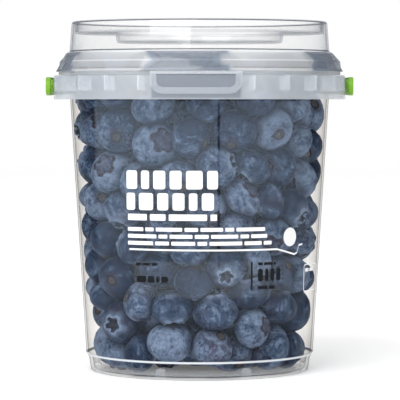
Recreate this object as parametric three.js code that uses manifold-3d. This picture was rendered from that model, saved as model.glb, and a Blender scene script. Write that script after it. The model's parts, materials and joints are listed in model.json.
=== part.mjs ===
// A shut clear tub of blueberries: a tapered tub with a milky ribbed collar and a tear tab, a stepped
// clear lid, a green carrying handle folded back round the collar, and the berries.
// Millimetres, +Z up. The origin is the centre of the flat base, and the tear tab faces -Y.
import * as THREE from "three";
import { mergeVertices } from "three/addons/utils/BufferGeometryUtils.js";
import Module from "manifold-3d";

const wasm = await Module();
wasm.setup();

// Tub
const ROUND_STEPS = 40;
const TUB_WALL = 0.7;
const FLOOR = 0.9;
const FOOT_RADIUS = 44.1;
const FOOT_ROUND = 0.8;
const FOOT_WALL = 1.3;
const STEP_RADIUS = 44.8;
const STEP_HEIGHT = 5.2;
const RIDGE_RADIUS = 46.0;
const RIDGE_HEIGHT = 7.1;
const TAPER = 0.0616;
const NOTCHES = 8;
const NOTCH_TURN = -19;
const NOTCH_WIDTH = [5.6, 3.6];
const NOTCH_HEIGHT = 4.6;
const NOTCH_DEPTH = 0.6;

// Collar
const COLLAR_RADIUS = 59.0;
const COLLAR_WALL = 0.9;
const COLLAR_BOTTOM = 109.5;
const COLLAR_TOP = 119.3;
const WEB = 0.9;
const CORNER = 0.4;
const RIM_RADIUS = 56.9;
const RIM_TOP = 120.9;
const RIB_STEP = 15;
const RIB_BOTTOM = 113.0;
const RIB_WALL = 0.7;
const TAB_WIDTH = 35.6;
const TAB_BOTTOM = 111.6;
const TAB_TOP = 120.5;
const TAB_ROUND = 5.0;
const TAB_BORDER = 2.6;
const TAB_TOP_BORDER = 1.3;
const TAB_PROUD = 0.4;

// Lid
const LID_WALL = 0.6;
const LID_TURN = -4;
const FLANGE_RADIUS = 58.1;
const FLANGE_HEIGHT = 120.6;
const SHOULDER_RADIUS = 53.9;
const SHOULDER_HEIGHT = 128.1;
const LID_FOOT_RADIUS = 52.5;
const LID_FOOT_HEIGHT = 128.7;
const LID_TOP_RADIUS = 51.6;
const LID_TOP = 140.8;
const RECESS_RADIUS = 49.6;
const RECESS_FLOOR = 136.6;
const WELL_RADIUS = 33.4;
const WELL_FLOOR = 132.9;
const PADS = 5;
const PAD_SPREAD = 39.6;
const PAD_TIP = 3.2;
const PAD_FOOT_HEIGHT = 122.4;
const PAD_RIDGE_RADIUS = 56.9;
const PAD_RIDGE_HEIGHT = 124.7;
const PAD_STEPS = 5;

// Handle
const PIVOT_HEIGHT = 114.8;
const STRAP_INNER = 60.3;
const STRAP_OUTER = 62.2;
const STRAP_HALF = 3.75;
const STRAP_HALF_BACK = 3.1;
const STRAP_TIP_HALF = 0.6;
const STRAP_SLIMS_OVER = 30;
const STRAP_EDGE = 0.5;
const STRAP_STEP = 9;
const PIN_RADIUS = 1.7;
const PIN_SIDES = 12;
const HOLE_RADIUS = 2.1;
const BOSS_RADIUS = 2.7;
const HEAD_RADIUS = 2.6;
const HEAD_LENGTH = 1.05;
const RUNNING_GAP = 0.35;

// Berries. Widths are measured across the round side. They start a little small and spread out, grow
// to full size while they drift down and outwards, and then only push each other apart.
const BERRIES = 228;
const BERRY_WIDTHS = [15.4, 19.4];
const BERRY_FLATNESS = [0.72, 0.88];
const BERRY_SEED = 7;
const BERRY_GAP = 0.35;
const BERRY_FACETS = [6, 4];
const HEAP_TOP = 128;
const SETTLE_STEPS = 500;
const OUTER_SHARE = 0.3;
const SINK = 0.05;
const SPREAD = 0.15;
const DRIFT_UNTIL = 0.85;
const GROWN_AT_START = 0.8;
const FULL_GROWN_AT = 0.5;
const PUSH = 0.35;
const AIM_PULL = 0.25;
const FLANKS = [0, 0.2, 0.4, 0.6, 0.8];
const CORE_STEPS = 12;
const CORE_DEPTH = 8;
const CORE_TOP = 115;
const CORE_COVER = 6;

// The berries that show best at the front, as seen from there: how far right of the middle and how
// high its centre lies, its width, and where on its disc an end shows, right and up as shares of
// its radius.
const FRONT_BERRIES = [
  [-32.1, 95.2, 17.9, -0.07, -0.35],
  [-10.9, 91.1, 19.0, 0.42, 0.28],
  [-17.5, 104.5, 18.7, -0.5, 0.8],
  [7.9, 100.8, 16.0, 0.5, 0.7],
  [26.5, 98.2, 17.3, 0.45, -0.35],
  [9.0, 83.7, 18.2, 0.9, 0.3],
  [28.1, 80.7, 16.9, -0.5, 0.05],
  [38.0, 90.3, 16.5, -0.6, 0.7],
  [16.8, 69.7, 16.8, 0.7, 0.6],
  [31.9, 63.5, 17.2, 0.8, -0.5],
  [-28.4, 21.7, 17.0, -0.48, -0.08],
  [-29.6, 38.8, 16.9, -0.4, -0.17],
  [-11.2, 43.1, 20.0, 0.1, 0.98],
  [-11.8, 29.6, 17.2, 0.1, -0.97],
  [-13.2, 16.9, 19.0, 0.0, 0.97],
  [8.8, 31.2, 18.3, -0.1, 0.97],
  [7.6, 18.2, 16.5, 0.5, 0.7],
  [22.7, 23.7, 16.7, 0.9, 0.1],
  [28.8, 39.2, 15.6, 0.7, 0.5],
  [26.7, 55.1, 16.5, 0.05, -0.5],
  [35.8, 24.3, 17.8, -0.9, 0.3],
];

const bodyRadius = (height) => RIDGE_RADIUS + (height - RIDGE_HEIGHT) * TAPER;
const innerRadius = (height) => bodyRadius(height) - TUB_WALL;

function solidOf(geometry) {
  const bare = geometry.clone();
  bare.deleteAttribute("normal");
  bare.deleteAttribute("uv");
  const merged = mergeVertices(bare, 1e-4);
  const vertProperties = merged.attributes.position.array;
  const triVerts = new Uint32Array(merged.index.array);
  return new wasm.Manifold(new wasm.Mesh({ numProp: 3, vertProperties, triVerts }));
}

function geometryOf(solid) {
  const { vertProperties, triVerts } = solid.getMesh();
  const geometry = new THREE.BufferGeometry();
  geometry.setAttribute("position", new THREE.BufferAttribute(vertProperties, 3));
  geometry.setIndex(new THREE.BufferAttribute(triVerts, 1));
  geometry.computeVertexNormals();
  return geometry;
}

// [radius, height] corners turned round the tub's axis.
function turned(profile, steps = ROUND_STEPS) {
  const corners = profile.map(([radius, height]) => new THREE.Vector2(radius, height));
  return solidOf(new THREE.LatheGeometry(corners, steps).rotateX(Math.PI / 2));
}

// A tube through rings of equally many points, either closed at both ends or run back to its start.
function loft(rings, looped = false) {
  const around = rings[0].length;
  const all = rings.length * around;
  const last = all - around;
  const faces = [];
  for (let i = 0; i < (looped ? all : last); i += around) {
    const beyond = (i + around) % all;
    for (let j = 0; j < around; j++) {
      const next = (j + 1) % around;
      faces.push(i + j, beyond + next, i + next);
      faces.push(i + j, beyond + j, beyond + next);
    }
  }
  const capFaces = looped ? 0 : around - 2;
  for (let j = 1; j <= capFaces; j++) {
    faces.push(0, j, j + 1);
    faces.push(last, last + j + 1, last + j);
  }
  const geometry = new THREE.BufferGeometry().setFromPoints(rings.flat());
  geometry.setIndex(faces);
  return solidOf(geometry);
}

// A point at a height, seen at a turn in degrees from the front, positive to the right.
function roundPoint(radius, turn, height) {
  const angle = THREE.MathUtils.degToRad(turn);
  return new THREE.Vector3(radius * Math.sin(angle), -radius * Math.cos(angle), height);
}

function cylinderAcross(radius, from, to) {
  const geometry = new THREE.CylinderGeometry(radius, radius, Math.abs(to - from), PIN_SIDES);
  return solidOf(geometry.rotateZ(Math.PI / 2).translate((from + to) / 2, 0, PIVOT_HEIGHT));
}

function tubShell() {
  const underWeb = COLLAR_TOP - WEB;
  const skirtInner = COLLAR_RADIUS - COLLAR_WALL;
  return turned([
    [0, 0],
    [FOOT_RADIUS - FOOT_ROUND, 0],
    [FOOT_RADIUS, FOOT_ROUND],
    [STEP_RADIUS, STEP_HEIGHT],
    [RIDGE_RADIUS, RIDGE_HEIGHT],
    [bodyRadius(underWeb), underWeb],
    [skirtInner, underWeb],
    [skirtInner, COLLAR_BOTTOM],
    [COLLAR_RADIUS, COLLAR_BOTTOM],
    [COLLAR_RADIUS, COLLAR_TOP - CORNER],
    [COLLAR_RADIUS - CORNER, COLLAR_TOP],
    [RIM_RADIUS, COLLAR_TOP],
    [RIM_RADIUS, RIM_TOP - CORNER],
    [RIM_RADIUS - CORNER, RIM_TOP],
    [innerRadius(RIM_TOP), RIM_TOP],
    [innerRadius(RIDGE_HEIGHT), RIDGE_HEIGHT],
    [STEP_RADIUS - FOOT_WALL, STEP_HEIGHT],
    [FOOT_RADIUS - FOOT_WALL, FLOOR + FOOT_ROUND],
    [FOOT_RADIUS - FOOT_WALL - FOOT_ROUND, FLOOR],
    [0, FLOOR],
  ]);
}

// The thin upright ribs between the wall and the skirt, all round but behind the tear tab.
function collarRibs() {
  const inner = innerRadius(COLLAR_TOP) + TUB_WALL / 2;
  const outer = COLLAR_RADIUS - COLLAR_WALL / 2;
  const top = COLLAR_TOP - WEB / 2;
  const ribs = [];
  for (let turn = 1.5 * RIB_STEP; turn < 360 - RIB_STEP; turn += RIB_STEP) {
    const rib = new THREE.BoxGeometry(RIB_WALL, outer - inner, top - RIB_BOTTOM);
    rib.translate(0, -(outer + inner) / 2, (top + RIB_BOTTOM) / 2);
    ribs.push(solidOf(rib.rotateZ(THREE.MathUtils.degToRad(turn))));
  }
  return ribs;
}

// The tab's outline, pulled in by an inset, as a solid that runs out to the front.
function tabOutline(inset, top) {
  const half = TAB_WIDTH / 2 - inset;
  const bottom = TAB_BOTTOM + inset;
  const round = TAB_ROUND - inset;
  const shape = new THREE.Shape();
  shape.moveTo(-half, top);
  shape.lineTo(-half, bottom + round);
  shape.quadraticCurveTo(-half, bottom, -half + round, bottom);
  shape.lineTo(half - round, bottom);
  shape.quadraticCurveTo(half, bottom, half, bottom + round);
  shape.lineTo(half, top);
  const depth = COLLAR_RADIUS + TAB_PROUD + 1;
  const options = { depth, bevelEnabled: false, curveSegments: 5 };
  return solidOf(new THREE.ExtrudeGeometry(shape, options).rotateX(Math.PI / 2));
}

function tearTab() {
  const inner = COLLAR_RADIUS - COLLAR_WALL / 2;
  const outer = COLLAR_RADIUS + TAB_PROUD;
  const band = turned([
    [inner, COLLAR_BOTTOM],
    [outer, COLLAR_BOTTOM],
    [outer, TAB_TOP],
    [inner, TAB_TOP],
    [inner, COLLAR_BOTTOM],
  ]);
  const opening = tabOutline(TAB_BORDER, TAB_TOP - TAB_TOP_BORDER);
  return band.intersect(tabOutline(0, TAB_TOP)).subtract(opening);
}

// The small arched recesses round the foot.
function footNotches() {
  const [wide, narrow] = NOTCH_WIDTH;
  const shape = new THREE.Shape();
  shape.moveTo(-wide / 2, -1);
  shape.lineTo(wide / 2, -1);
  shape.lineTo(narrow / 2, NOTCH_HEIGHT);
  shape.lineTo(-narrow / 2, NOTCH_HEIGHT);
  const options = { depth: 4, bevelEnabled: false };
  const notches = [];
  for (let i = 0; i < NOTCHES; i++) {
    const notch = new THREE.ExtrudeGeometry(shape, options).rotateX(Math.PI / 2);
    notch.translate(0, NOTCH_DEPTH - FOOT_RADIUS, 0);
    const turn = NOTCH_TURN + (i * 360) / NOTCHES;
    notches.push(solidOf(notch.rotateZ(THREE.MathUtils.degToRad(turn))));
  }
  return notches;
}

function tub() {
  const inside = COLLAR_RADIUS - COLLAR_WALL - 1;
  const outside = COLLAR_RADIUS + 1;
  const pivotHoles = [-1, 1].map((side) => cylinderAcross(HOLE_RADIUS, side * inside, side * outside));
  const whole = wasm.Manifold.union([tubShell(), ...collarRibs(), tearTab()]);
  return wasm.Manifold.difference([whole, ...pivotHoles, ...footNotches()]);
}

// The lid cut through at one turn. A share of 1 is the middle of a pad that stands out of the
// sloping shoulder, and 0 is the bare slope between two pads.
function lidSection(turn, share) {
  const wall = LID_WALL;
  const slope = (SHOULDER_RADIUS - FLANGE_RADIUS) / (SHOULDER_HEIGHT - FLANGE_HEIGHT);
  const onSlope = (height) => FLANGE_RADIUS + (height - FLANGE_HEIGHT) * slope;
  const ridge = THREE.MathUtils.lerp(onSlope(PAD_RIDGE_HEIGHT), PAD_RIDGE_RADIUS, share);
  const profile = [
    [0, WELL_FLOOR - wall],
    [WELL_RADIUS, WELL_FLOOR - wall],
    [WELL_RADIUS + wall, RECESS_FLOOR - wall],
    [RECESS_RADIUS + wall, RECESS_FLOOR - wall],
    [RECESS_RADIUS + wall, LID_TOP - wall],
    [LID_TOP_RADIUS - wall, LID_TOP - wall],
    [LID_FOOT_RADIUS - wall, LID_FOOT_HEIGHT - wall / 2],
    [SHOULDER_RADIUS - wall, SHOULDER_HEIGHT - wall],
    [RIM_RADIUS - CORNER - wall, RIM_TOP + RUNNING_GAP],
    [RIM_RADIUS + RUNNING_GAP, RIM_TOP + RUNNING_GAP],
    [RIM_RADIUS + RUNNING_GAP, FLANGE_HEIGHT],
    [FLANGE_RADIUS, FLANGE_HEIGHT],
    [onSlope(PAD_FOOT_HEIGHT), PAD_FOOT_HEIGHT],
    [ridge, PAD_RIDGE_HEIGHT],
    [SHOULDER_RADIUS, SHOULDER_HEIGHT],
    [LID_FOOT_RADIUS, LID_FOOT_HEIGHT],
    [LID_TOP_RADIUS, LID_TOP - wall],
    [LID_TOP_RADIUS - wall, LID_TOP],
    [RECESS_RADIUS + wall, LID_TOP],
    [RECESS_RADIUS, LID_TOP - wall],
    [RECESS_RADIUS, RECESS_FLOOR],
    [WELL_RADIUS, RECESS_FLOOR],
    [WELL_RADIUS - wall, WELL_FLOOR],
    [0, WELL_FLOOR],
  ];
  return profile.map(([radius, height]) => roundPoint(radius, turn, height));
}

function lid() {
  const pitch = 360 / PADS;
  const full = PAD_SPREAD / 2;
  const tip = full + PAD_TIP;
  const rings = [];
  for (let pad = 0; pad < PADS; pad++) {
    const middle = LID_TURN + (pad + 0.5) * pitch;
    rings.push(lidSection(middle - (tip + pitch / 2) / 2, 0), lidSection(middle - tip, 0));
    for (let step = 0; step <= PAD_STEPS; step++) {
      rings.push(lidSection(middle + THREE.MathUtils.lerp(-full, full, step / PAD_STEPS), 1));
    }
    rings.push(lidSection(middle + tip, 0), lidSection(middle + (tip + pitch / 2) / 2, 0));
    rings.push(lidSection(middle + pitch / 2, 0));
  }
  return loft(rings, true);
}

// The strap as seen at a turn from the front: round at its ends, slimmer across the back.
function strapHalfHeight(turn) {
  const beyond = ((90 - Math.min(turn, 360 - turn)) * Math.PI * STRAP_INNER) / 180;
  if (beyond > 0) {
    return Math.sqrt(Math.max(STRAP_TIP_HALF ** 2, STRAP_HALF ** 2 - beyond ** 2));
  }
  return THREE.MathUtils.lerp(STRAP_HALF, STRAP_HALF_BACK, Math.min(1, -beyond / STRAP_SLIMS_OVER));
}

function handle() {
  const endTurn = (STRAP_HALF / STRAP_INNER) * (180 / Math.PI);
  const turns = [];
  for (let share = 1; share > 0; share -= 0.25) {
    turns.push(90 - endTurn * Math.sin((share * Math.PI) / 2));
  }
  for (let turn = 90; turn < 271; turn += STRAP_STEP) {
    turns.push(turn);
  }
  turns.push(...turns.slice(0, 4).reverse().map((turn) => 360 - turn));
  const rings = turns.map((turn) => {
    const half = strapHalfHeight(turn);
    const edge = Math.min(STRAP_EDGE, half / 2);
    return [
      [STRAP_INNER, -half],
      [STRAP_OUTER - edge, -half],
      [STRAP_OUTER, edge - half],
      [STRAP_OUTER, half - edge],
      [STRAP_OUTER - edge, half],
      [STRAP_INNER, half],
    ].map(([radius, height]) => roundPoint(radius, turn, PIVOT_HEIGHT + height));
  });
  const inStrap = (STRAP_INNER + STRAP_OUTER) / 2;
  const headOuter = COLLAR_RADIUS - COLLAR_WALL - RUNNING_GAP;
  const headInner = headOuter - HEAD_LENGTH;
  const pieces = [loft(rings)];
  for (const side of [-1, 1]) {
    pieces.push(cylinderAcross(BOSS_RADIUS, side * (COLLAR_RADIUS + RUNNING_GAP), side * inStrap));
    pieces.push(cylinderAcross(PIN_RADIUS, side * (headOuter - HEAD_LENGTH / 2), side * inStrap));
    pieces.push(cylinderAcross(HEAD_RADIUS, side * headInner, side * headOuter));
  }
  return wasm.Manifold.union(pieces);
}

// A repeatable draw of numbers from 0 to 1.
function seededRandom(seed) {
  let state = seed;
  return () => {
    state = (Math.imul(state, 1664525) + 1013904223) >>> 0;
    return state / 2 ** 32;
  };
}

// How far a berry reaches from its centre to its skin along a direction.
function skinReach(berry, direction) {
  const across = direction.dot(berry.axis) ** 2;
  return 1 / Math.sqrt((1 - across) / berry.wide ** 2 + across / berry.thick ** 2);
}

// How far a berry's furthest point lies along a direction.
function furthest(berry, direction) {
  const across = direction.dot(berry.axis) ** 2;
  return Math.sqrt((1 - across) * berry.wide ** 2 + across * berry.thick ** 2);
}

// The free radius inside the tub at a height.
function roomRadius(height) {
  if (height > RIDGE_HEIGHT) {
    return innerRadius(height) - BERRY_GAP;
  }
  return FOOT_RADIUS - FOOT_WALL - BERRY_GAP;
}

function scatterBerries() {
  const random = seededRandom(BERRY_SEED);
  const between = ([low, high]) => low + (high - low) * random();
  const berries = [];
  for (const [right, height, width, endRight, endUp] of FRONT_BERRIES) {
    const towards = Math.sqrt(Math.max(0, 1 - endRight ** 2 - endUp ** 2));
    const wide = width / 2;
    const away = Math.sqrt((roomRadius(height) - wide) ** 2 - right ** 2);
    berries.push({
      place: new THREE.Vector3(right, -away, height),
      aim: new THREE.Vector3(right, -away, height),
      axis: new THREE.Vector3(endRight, -towards, endUp).normalize(),
      wide,
      thick: wide * between(BERRY_FLATNESS),
    });
  }
  while (berries.length < BERRIES) {
    const share = berries.length / BERRIES;
    const wide = between(BERRY_WIDTHS) / 2;
    const turn = 360 * random();
    const out = random() ** OUTER_SHARE * (innerRadius(0) - wide);
    const up = 2 * random() - 1;
    const spin = 2 * Math.PI * random();
    const level = Math.sqrt(1 - up ** 2);
    berries.push({
      place: roundPoint(out, turn, FLOOR + wide + share * (HEAP_TOP - 2 * wide)),
      axis: new THREE.Vector3(level * Math.cos(spin), level * Math.sin(spin), up),
      wide,
      thick: wide * between(BERRY_FLATNESS),
    });
  }
  return berries;
}

// Pushes every two berries that overlap apart by equal shares.
function pushApart(berries, grown) {
  const shifts = berries.map(() => new THREE.Vector3());
  for (let i = 0; i < berries.length; i++) {
    for (let j = 0; j < i; j++) {
      const apart = berries[i].place.clone().sub(berries[j].place);
      const distance = apart.length();
      apart.divideScalar(distance);
      const reach = grown * (skinReach(berries[i], apart) + skinReach(berries[j], apart));
      if (distance < reach) {
        apart.multiplyScalar(PUSH * (reach - distance));
        shifts[i].add(apart);
        shifts[j].sub(apart);
      }
    }
  }
  berries.forEach((berry, i) => berry.place.add(shifts[i]));
}

// Keeps a berry inside the tub and the lid, measured at its middle and lower down its flank.
function keepInside(berry, grown) {
  const up = new THREE.Vector3(0, 0, 1);
  const outwards = new THREE.Vector3(berry.place.x, berry.place.y, 0).normalize();
  const out = Math.hypot(berry.place.x, berry.place.y);
  const side = grown * furthest(berry, outwards);
  const tall = grown * furthest(berry, up);
  const rooms = FLANKS.map((flank) => {
    return roomRadius(berry.place.z - flank * tall) - side * Math.sqrt(1 - flank ** 2);
  });
  const room = Math.min(out, ...rooms);
  berry.place.x = outwards.x * room;
  berry.place.y = outwards.y * room;
  berry.place.z = Math.max(berry.place.z, FLOOR + BERRY_GAP + tall);
  berry.place.z = Math.min(berry.place.z, HEAP_TOP - tall);
}

function settledBerries() {
  const berries = scatterBerries();
  for (let step = 0; step < SETTLE_STEPS; step++) {
    const share = step / SETTLE_STEPS;
    const drifting = share < DRIFT_UNTIL;
    const grown = THREE.MathUtils.lerp(GROWN_AT_START, 1, Math.min(1, share / FULL_GROWN_AT));
    pushApart(berries, grown);
    for (const berry of berries) {
      if (drifting) {
        const out = Math.hypot(berry.place.x, berry.place.y);
        berry.place.x += (SPREAD * berry.place.x) / out;
        berry.place.y += (SPREAD * berry.place.y) / out;
        berry.place.z -= SINK;
      }
      if (berry.aim) {
        berry.place.lerp(berry.aim, drifting ? AIM_PULL : AIM_PULL / 5);
      }
      keepInside(berry, grown);
    }
  }
  return berries;
}

function berrySolid(berry) {
  const geometry = new THREE.SphereGeometry(1, ...BERRY_FACETS);
  geometry.rotateX(Math.PI / 2).scale(berry.wide, berry.wide, berry.thick);
  const turn = new THREE.Quaternion().setFromUnitVectors(new THREE.Vector3(0, 0, 1), berry.axis);
  geometry.applyQuaternion(turn).translate(berry.place.x, berry.place.y, berry.place.z);
  return solidOf(geometry);
}

// The heap: a plain core with every berry that stands out of it.
function berryHeap() {
  const core = turned([
    [0, FLOOR + CORE_DEPTH],
    [RIDGE_RADIUS - CORE_DEPTH, FLOOR + CORE_DEPTH],
    [bodyRadius(CORE_TOP) - CORE_DEPTH, CORE_TOP],
    [0, CORE_TOP],
  ], CORE_STEPS);
  const showing = settledBerries().filter((berry) => {
    const out = Math.hypot(berry.place.x, berry.place.y) + berry.wide;
    const beyond = Math.max(
      out - (bodyRadius(berry.place.z) - CORE_DEPTH),
      berry.place.z + berry.thick - CORE_TOP,
      FLOOR + CORE_DEPTH - (berry.place.z - berry.thick)
    );
    return beyond > CORE_COVER;
  });
  return wasm.Manifold.union([core, ...showing.map(berrySolid)]);
}

function plastic(color, opacity, roughness) {
  return new THREE.MeshStandardMaterial({
    color,
    roughness,
    metalness: 0,
    opacity,
    transparent: opacity < 1,
  });
}

const punnet = new THREE.Group();
const pieces = {
  tub: [tub(), plastic(0xdfe4e8, 0.35, 0.15)],
  lid: [lid(), plastic(0xeef0f1, 0.25, 0.08)],
  handle: [handle(), plastic(0x6fb81e, 1, 0.4)],
  blueberries: [berryHeap(), plastic(0x3c4a66, 1, 0.65)],
};
for (const [name, [solid, material]] of Object.entries(pieces)) {
  const mesh = new THREE.Mesh(geometryOf(solid), material);
  mesh.name = name;
  punnet.add(mesh);
}

export default punnet;
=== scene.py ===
import json
from math import asin, atan2, cos, degrees, hypot, pi, radians, sin, sqrt

import bmesh
import bpy
import numpy as np
from mathutils import Matrix, Vector


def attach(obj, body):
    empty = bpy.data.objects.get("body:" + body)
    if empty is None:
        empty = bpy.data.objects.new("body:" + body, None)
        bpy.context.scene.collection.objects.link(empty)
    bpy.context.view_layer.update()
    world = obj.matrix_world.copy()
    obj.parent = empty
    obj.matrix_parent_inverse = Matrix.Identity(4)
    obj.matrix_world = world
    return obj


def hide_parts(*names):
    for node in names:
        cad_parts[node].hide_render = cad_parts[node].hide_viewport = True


bl_info = {
    "name": "Clear tub of blueberries",
    "version": (1, 0, 0),
    "blender": (4, 5, 0),
    "location": "View3D > Sidebar > Berry Tub",
    "description": "Models a shut clear tub of blueberries with a ribbed collar, a stepped lid and a handle",
    "category": "Add Mesh",
}

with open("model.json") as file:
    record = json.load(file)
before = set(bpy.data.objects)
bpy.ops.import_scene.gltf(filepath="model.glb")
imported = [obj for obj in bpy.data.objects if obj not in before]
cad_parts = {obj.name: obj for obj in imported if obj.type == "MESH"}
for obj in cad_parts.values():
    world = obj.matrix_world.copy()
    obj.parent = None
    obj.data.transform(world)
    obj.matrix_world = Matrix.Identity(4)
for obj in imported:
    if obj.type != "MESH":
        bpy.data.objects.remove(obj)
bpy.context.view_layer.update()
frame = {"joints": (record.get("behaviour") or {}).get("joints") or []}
MM = 0.001

# Tub, in millimetres
ROUND_STEPS = 120
TUB_WALL = 0.7
FLOOR = 0.9
FOOT_RADIUS = 44.1
FOOT_ROUND = 0.8
FOOT_WALL = 1.3
FOOT_RING = 5
FOOT_RECESS = 0.5
MOULD_ROUND = 0.3
STEP_RADIUS = 44.8
STEP_HEIGHT = 5.2
RIDGE_RADIUS = 46.0
RIDGE_HEIGHT = 7.1
TAPER = 0.0616
NOTCHES = 8
NOTCH_TURN = -19
NOTCH_WIDTH = (5.6, 3.6)
NOTCH_HEIGHT = 4.6
NOTCH_DEPTH = 0.6
NOTCH_REACH = 4
NOTCH_OVERRUN = 1
# How strongly the notches' sides are painted pale: a painted highlight for the light their edges bend
NOTCH_HIGHLIGHT = 0.35

# Collar and tear tab
COLLAR_RADIUS = 59.0
COLLAR_WALL = 0.9
COLLAR_BOTTOM = 109.5
COLLAR_TOP = 119.3
WEB = 0.9
CORNER = 0.4
RIM_RADIUS = 56.9
RIM_TOP = 120.9
RIB_STEP = 15
RIB_BOTTOM = 113.0
RIB_WALL = 0.7
RIB_BEVEL = 0.2
TAB_WIDTH = 35.6
TAB_BOTTOM = 111.6
TAB_TOP = 120.5
TAB_ROUND = 5.0
TAB_BORDER = 2.6
TAB_TOP_BORDER = 1.3
TAB_PROUD = 0.4
TAB_SLICE = 1.5
TAB_BEVEL = 0.12

# Lid
LID_WALL = 0.6
LID_TURN = -4
FLANGE_RADIUS = 58.1
FLANGE_HEIGHT = 120.6
SHOULDER_RADIUS = 53.9
SHOULDER_HEIGHT = 128.1
LID_FOOT_RADIUS = 52.5
LID_FOOT_HEIGHT = 128.7
LID_TOP_RADIUS = 51.6
LID_TOP = 140.8
RECESS_RADIUS = 49.6
RECESS_FLOOR = 136.6
WELL_RADIUS = 33.4
WELL_FLOOR = 132.9
PADS = 5
PAD_SPREAD = 39.6
PAD_TIP = 3.2
PAD_STEPS = 8
PAD_SLACK = 0.1
PAD_FOOT_HEIGHT = 122.4
PAD_RIDGE_RADIUS = 56.9
PAD_RIDGE_HEIGHT = 124.7
# How softly the bands of haze and of painted highlight fade in and out, in millimetres
BAND_FADE = 0.3
RUNNING_GAP = 0.35

# Handle
PIVOT_HEIGHT = frame["joints"][0]["pos_m"][2] / MM
STRAP_INNER = 60.3
STRAP_OUTER = 62.2
STRAP_HALF = 3.75
STRAP_HALF_BACK = 3.1
STRAP_TIP_HALF = 0.6
STRAP_SLIMS_OVER = 30
STRAP_EDGE = 0.5
STRAP_STEPS = 72
STRAP_END_STEPS = 8
PIN_RADIUS = 1.7
HOLE_RADIUS = 2.1
BOSS_RADIUS = 2.7
HEAD_RADIUS = 2.6
HEAD_LENGTH = 1.05
HEAD_BEVEL = 0.3

# Berries, settled in the same way as the frame's heap
BERRIES = 228
BERRY_WIDTHS = (15.4, 19.4)
BERRY_FLATNESS = (0.72, 0.88)
BERRY_SEED = 7
BERRY_GAP = 0.35
HEAP_TOP = 128
SETTLE_STEPS = 500
OUTER_SHARE = 0.3
SINK = 0.05
SPREAD = 0.15
DRIFT_UNTIL = 0.85
GROWN_AT_START = 0.8
FULL_GROWN_AT = 0.5
PUSH = 0.35
AIM_PULL = 0.25
LATE_AIM_PULL = 0.05
FLANKS = (0, 0.2, 0.4, 0.6, 0.8)
TOUCH_REACH = 4.0
MIDDLE_RINGS = (1, 6)
MIDDLE_STEP = 16
MIDDLE_HEIGHTS = (107, 113)
MIDDLE_SETTLE_STEPS = 120
CORE_RADIUS = 24
CORE_BOTTOM = 16
CORE_TOP = 106
CORE_ROUND = 6
CORE_STEPS = 48
# The crown's radius on each kind of berry, as a share of the berry's own
CROWNS = (0.42, 0.36, 0.47)
CROWN_CAP = 30
STEM_CAP = 16
CROWN_OUT_SHARE = 0.6

# The berries that show best at the front: how far right of the middle and how high its centre lies,
# its width, where on its disc an end shows, and whether that end is the crown (1) or the stem's (-1).
FRONT_BERRIES = (
    (-32.1, 95.2, 17.9, -0.07, -0.35, -1),
    (-10.9, 91.1, 19.0, 0.42, 0.28, 1),
    (-17.5, 104.5, 18.7, -0.5, 0.8, 1),
    (7.9, 100.8, 16.0, 0.5, 0.7, 1),
    (26.5, 98.2, 17.3, 0.45, -0.35, -1),
    (9.0, 83.7, 18.2, 0.9, 0.3, 1),
    (28.1, 80.7, 16.9, -0.5, 0.05, -1),
    (38.0, 90.3, 16.5, -0.6, 0.7, 1),
    (16.8, 69.7, 16.8, 0.7, 0.6, 1),
    (31.9, 63.5, 17.2, 0.8, -0.5, 1),
    (-28.4, 21.7, 17.0, -0.48, -0.08, 1),
    (-29.6, 38.8, 16.9, -0.4, -0.17, -1),
    (-11.2, 43.1, 20.0, 0.1, 0.98, 1),
    (-11.8, 29.6, 17.2, 0.1, -0.97, 1),
    (-13.2, 16.9, 19.0, 0.0, 0.97, -1),
    (8.8, 31.2, 18.3, -0.1, 0.97, 1),
    (7.6, 18.2, 16.5, 0.5, 0.7, -1),
    (22.7, 23.7, 16.7, 0.9, 0.1, 1),
    (28.8, 39.2, 15.6, 0.7, 0.5, -1),
    (26.7, 55.1, 16.5, 0.05, -0.5, 1),
    (35.8, 24.3, 17.8, -0.9, 0.3, 1),
)

# Print on the wall: distance round it from the front, and height, in millimetres
PRINT_PROUD = 0.06
PRINT_SLICE = 2.0
PRINT_LEFT = -29.0
# The veil: a painted reflection of the front lights, laid on the wall as two hazy sheets with a narrow gap,
# thinner towards the foot as painted shade
VEIL_TURNS = ((-54, 9.5), (10.5, 62))
VEIL_HEIGHTS = (8.4, 109.0)
# How much of the painted veil's haze is kept at the foot: the thinning is painted shade, darker towards the
# foot
VEIL_FOOT_SHARE = 0.15
VEIL_MIDDLE = sum(VEIL_HEIGHTS) / 2

# How closely the painted dark outline of clear plastic keeps to where it is seen edge on: painted shade
# standing in for refraction
RIM_POWER = 14
# Half the height of the painted dark line that stands in for a moulded corner seen through clear plastic, in
# millimetres
CORNER_SHADE_LINE = 0.15

# Studio, in degrees round the tub from the front, positive to the right
PANELS = (-48, 52)
PANEL_SOFTNESS = 18.0
SLIT = 17.3
SLIT_WIDTH = 2.0
SLIT_CORE = 0.7
BACKDROP = (167, 171)
# How far up the white ceiling starts, and where it is full, as the height of a look's direction
CEILING = (0.45, 0.75)
KEY_PLACE = (-0.45, -0.95, 1.0)
KEY_SIZE = 0.9
KEY_AIM = (0, 0, 0.07)
CAMERA_AIM = (0.0002, 0, 0.0687)
SENSOR_WIDTH = 36
TRANSPARENT_BOUNCES = 40


def body_radius(height):
    return RIDGE_RADIUS + (height - RIDGE_HEIGHT) * TAPER


def inner_radius(height):
    return body_radius(height) - TUB_WALL


def round_point(radius, turn, height):
    """A point in millimetres at a turn in degrees from the front, positive to the right, in metres."""
    angle = radians(turn)
    return Vector((radius * sin(angle), -radius * cos(angle), height)) * MM


def turn_of(place):
    return degrees(atan2(place.x, -place.y))


# Modelling steps


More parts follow.
